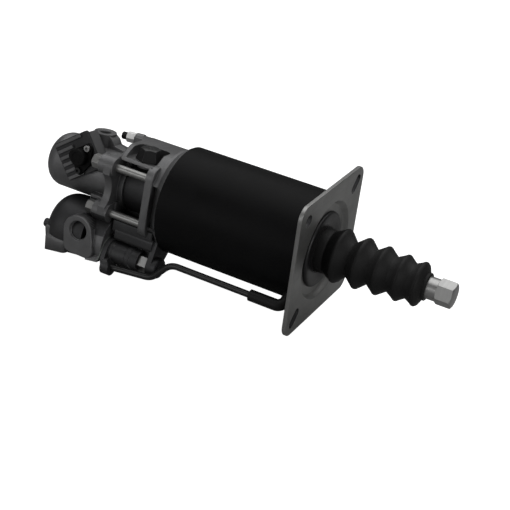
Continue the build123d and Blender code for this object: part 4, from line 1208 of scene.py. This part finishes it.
@dataclass
class ControlValve:
    """The control valve's end cover, its union nut, and the pieces inside."""

    nut_place: tuple[float, float] = (36.0, -64.0)
    nut_ends: Limits = (-180.5, -163.5)
    nut_flat: float = 17.0
    nut_chamfer: float = 1.2
    ear_front: float = 43.0
    ear_bottom: float = -79.2
    screw_lift: float = 6.3
    lobe_top: float = -67.0
    lobe_blend: float = 4.0
    lobe_shift: float = 4.5
    gasket_bottom: float = -70.0
    inside: Sequence[str] = ("control_piston", "control_seal", "valve_seat", "inlet_valve")

    def tuck_ear(self, place: Vector) -> None:
        """Brings the cover's lower screw ear up to its round edge, and its pipe boss forward.

        Args:
            place: The place of one of the cover's corners.
        """
        if -place.y < self.ear_front:
            place.z = max(place.z, self.ear_bottom)
        else:
            place.x += self.lobe_shift * min(1.0, max(0.0, (self.lobe_top - place.z) / self.lobe_blend))

    def trim_gasket(self, place: Vector) -> None:
        """Brings the gasket's lower edge up behind the cover."""
        place.z = max(place.z, self.gasket_bottom)

    def lift_screw(self, place: Vector) -> None:
        """Moves the lower screw up with its ear."""
        if place.z < self.ear_bottom:
            place.z += self.screw_lift

    def nut(self) -> Mesh:
        """The hexagonal union nut over the cover's end, its corners turned down.

        Returns:
            The nut as a bmesh.
        """
        mesh = bmesh.new()
        start, end = self.nut_ends
        corner = self.nut_flat / math.sqrt(3) * MM
        bmesh.ops.create_cone(mesh, cap_ends=True, segments=6, radius1=corner, radius2=corner,
                              depth=(end - start) * MM)
        rims = [edge for edge in mesh.edges if abs(edge.verts[0].co.z - edge.verts[1].co.z) < WELD_DISTANCE]
        bmesh.ops.bevel(mesh, geom=rims, offset=self.nut_chamfer * MM, segments=2, profile=0.5,
                        affect="EDGES", material=-1)
        set_rear(mesh, ((start + end) / 2, *self.nut_place), 90.0, "Y")
        smooth_by_angle(mesh, 20.0)
        return mesh

    def build(self, shop: Workshop) -> None:
        """Dresses the valve's pieces and makes the union nut.

        Args:
            shop: The workshop.
        """
        shop.refine("valve_end_cover", move=self.tuck_ear)
        shop.refine("valve_gasket", move=self.trim_gasket)
        shop.refine("valve_cover_screws", move=self.lift_screw)
        shop.piece("transfer_nut", self.nut(), shop.slots["transfer_fitting"], Body.HOUSING,
                   "transfer_fitting")
        shop.dress(*self.inside)


@dataclass
class BreatherPipe:
    """The bent pipe below the cylinder and its rubber elbow."""

    crease: float = 50.0

    def build(self, shop: Workshop) -> None:
        """Dresses the pipe and the elbow.

        Args:
            shop: The workshop.
        """
        shop.refine("breather_pipe", self.crease)
        shop.refine("pipe_elbow", self.crease)


@dataclass(frozen=True)
class SoftLight:
    """A rectangular soft light, with its size in metres and its power in watts."""

    name: str
    place: tuple[float, float, float]
    size: tuple[float, float]
    power: float
    aim: tuple[float, float, float]

    def hang(self) -> None:
        """Hangs the light at its place, facing its aim."""
        data = bpy.data.lights.new(self.name, "AREA")
        data.shape = "RECTANGLE"
        data.size, data.size_y = self.size
        data.energy = self.power
        lamp = bpy.data.objects.new(self.name, data)
        bpy.context.scene.collection.objects.link(lamp)
        lamp.location = self.place
        lamp.rotation_euler = (Vector(self.aim) - Vector(self.place)).to_track_quat("-Z", "Y").to_euler()


@dataclass
class Studio:
    """A pale floor, soft lights and the camera of the picture."""

    azimuth: float = 25.01
    elevation: float = 28.55
    roll: float = 7.63
    distance: float = 1.2
    focal_pixels: float = 1216.7
    picture_pixels: float = 510.0
    sensor: float = 36.0
    view_end: float = 20.0
    aim: tuple[float, float, float] = (-0.0726, 0.0, -0.0318)
    floor_size: float = 8.0
    floor_gap: float = 0.001
    floor_grey: float = 0.3
    floor_roughness: float = 0.9
    surroundings: float = 0.1
    lights: Sequence[SoftLight] = (
        SoftLight("overhead_box", (-0.3, 0.5, 1.5), (2.8, 2.2), 34.0, (-0.15, 0, 0)),
        SoftLight("front_box", (-0.9, -1.5, 0.5), (1.2, 0.9), 6.5, (-0.2, 0, 0)),
        SoftLight("right_box", (1.3, -0.7, 0.5), (0.7, 0.8), 6.5, (0.0, 0, 0)),
    )

    def axes(self) -> tuple[Vector, Vector, Vector]:
        """The camera's right, up and back directions, rolled."""
        turn, lift, roll = (math.radians(angle) for angle in (self.azimuth, self.elevation, self.roll))
        back = Vector((math.sin(turn) * math.cos(lift), -math.cos(turn) * math.cos(lift), math.sin(lift)))
        right = Vector((math.cos(turn), math.sin(turn), 0.0))
        up = back.cross(right)
        cosine, sine = math.cos(roll), math.sin(roll)
        return right * cosine + up * sine, up * cosine - right * sine, back

    def place_camera(self) -> None:
        """Sets the camera up at the picture's viewing angle."""
        right, up, back = self.axes()
        data = bpy.data.cameras.new("picture_camera")
        data.sensor_width = self.sensor
        data.lens = self.focal_pixels / self.picture_pixels * self.sensor
        data.clip_end = self.view_end
        camera = bpy.data.objects.new("picture_camera", data)
        bpy.context.scene.collection.objects.link(camera)
        turn = Matrix((right, up, back)).transposed().to_4x4()
        camera.matrix_world = Matrix.Translation(Vector(self.aim) + back * self.distance) @ turn
        bpy.context.scene.camera = camera

    def lay_floor(self, height: float) -> None:
        """Lays the floor just under the servo.

        Args:
            height: The height of the servo's lowest point.
        """
        mesh = bmesh.new()
        bmesh.ops.create_grid(mesh, x_segments=1, y_segments=1, size=self.floor_size / 2)
        bmesh.ops.translate(mesh, verts=mesh.verts, vec=(0, 0, height - self.floor_gap))
        data = bpy.data.meshes.new("studio_floor")
        mesh.to_mesh(data)
        mesh.free()
        floor = bpy.data.objects.new("studio_floor", data)
        bpy.context.scene.collection.objects.link(floor)
        material = bpy.data.materials.new("pale_floor")
        material.use_nodes = True
        shader = material.node_tree.nodes["Principled BSDF"]
        shader.inputs["Base Color"].default_value = (*[self.floor_grey] * 3, 1.0)
        shader.inputs["Roughness"].default_value = self.floor_roughness
        shader.inputs["Emission Color"].default_value = (1.0, 1.0, 1.0, 1.0)
        ray = material.node_tree.nodes.new("ShaderNodeLightPath")
        material.node_tree.links.new(ray.outputs["Is Camera Ray"], shader.inputs["Emission Strength"])
        data.materials.append(material)
        floor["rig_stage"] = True

    def surround(self) -> None:
        """Sets the surroundings, white to the camera and dim to the servo."""
        world = bpy.data.worlds.new("studio_world")
        world.use_nodes = True
        background = world.node_tree.nodes["Background"]
        ray = world.node_tree.nodes.new("ShaderNodeLightPath")
        strength = world.node_tree.nodes.new("ShaderNodeMapRange")
        strength.inputs["To Min"].default_value = self.surroundings
        world.node_tree.links.new(ray.outputs["Is Camera Ray"], strength.inputs["Value"])
        world.node_tree.links.new(strength.outputs["Result"], background.inputs["Strength"])
        background.inputs["Color"].default_value = (1.0, 1.0, 1.0, 1.0)
        bpy.context.scene.world = world

    def build(self) -> None:
        """Sets the whole studio up around the servo."""
        low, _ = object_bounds()
        self.place_camera()
        self.lay_floor(low[2])
        self.surround()
        for light in self.lights:
            light.hang()
        bpy.context.scene.view_settings.view_transform = "Standard"


def main() -> None:
    """Builds the servo's looks."""
    logging.basicConfig(level=logging.INFO, format="%(name)s: %(message)s")
    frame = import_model()
    shop = Workshop(frame)
    makers = (MountingPlate(), AirCylinder(), PushRod(), RubberBellows(), RearHead(), HydraulicUnit(),
              ValveHousing(), ExhaustCover(), ControlValve(), BreatherPipe(), CoilSprings())
    for maker in makers:
        maker.build(shop)
    Studio().build()


if __name__ == "__main__":
    main()
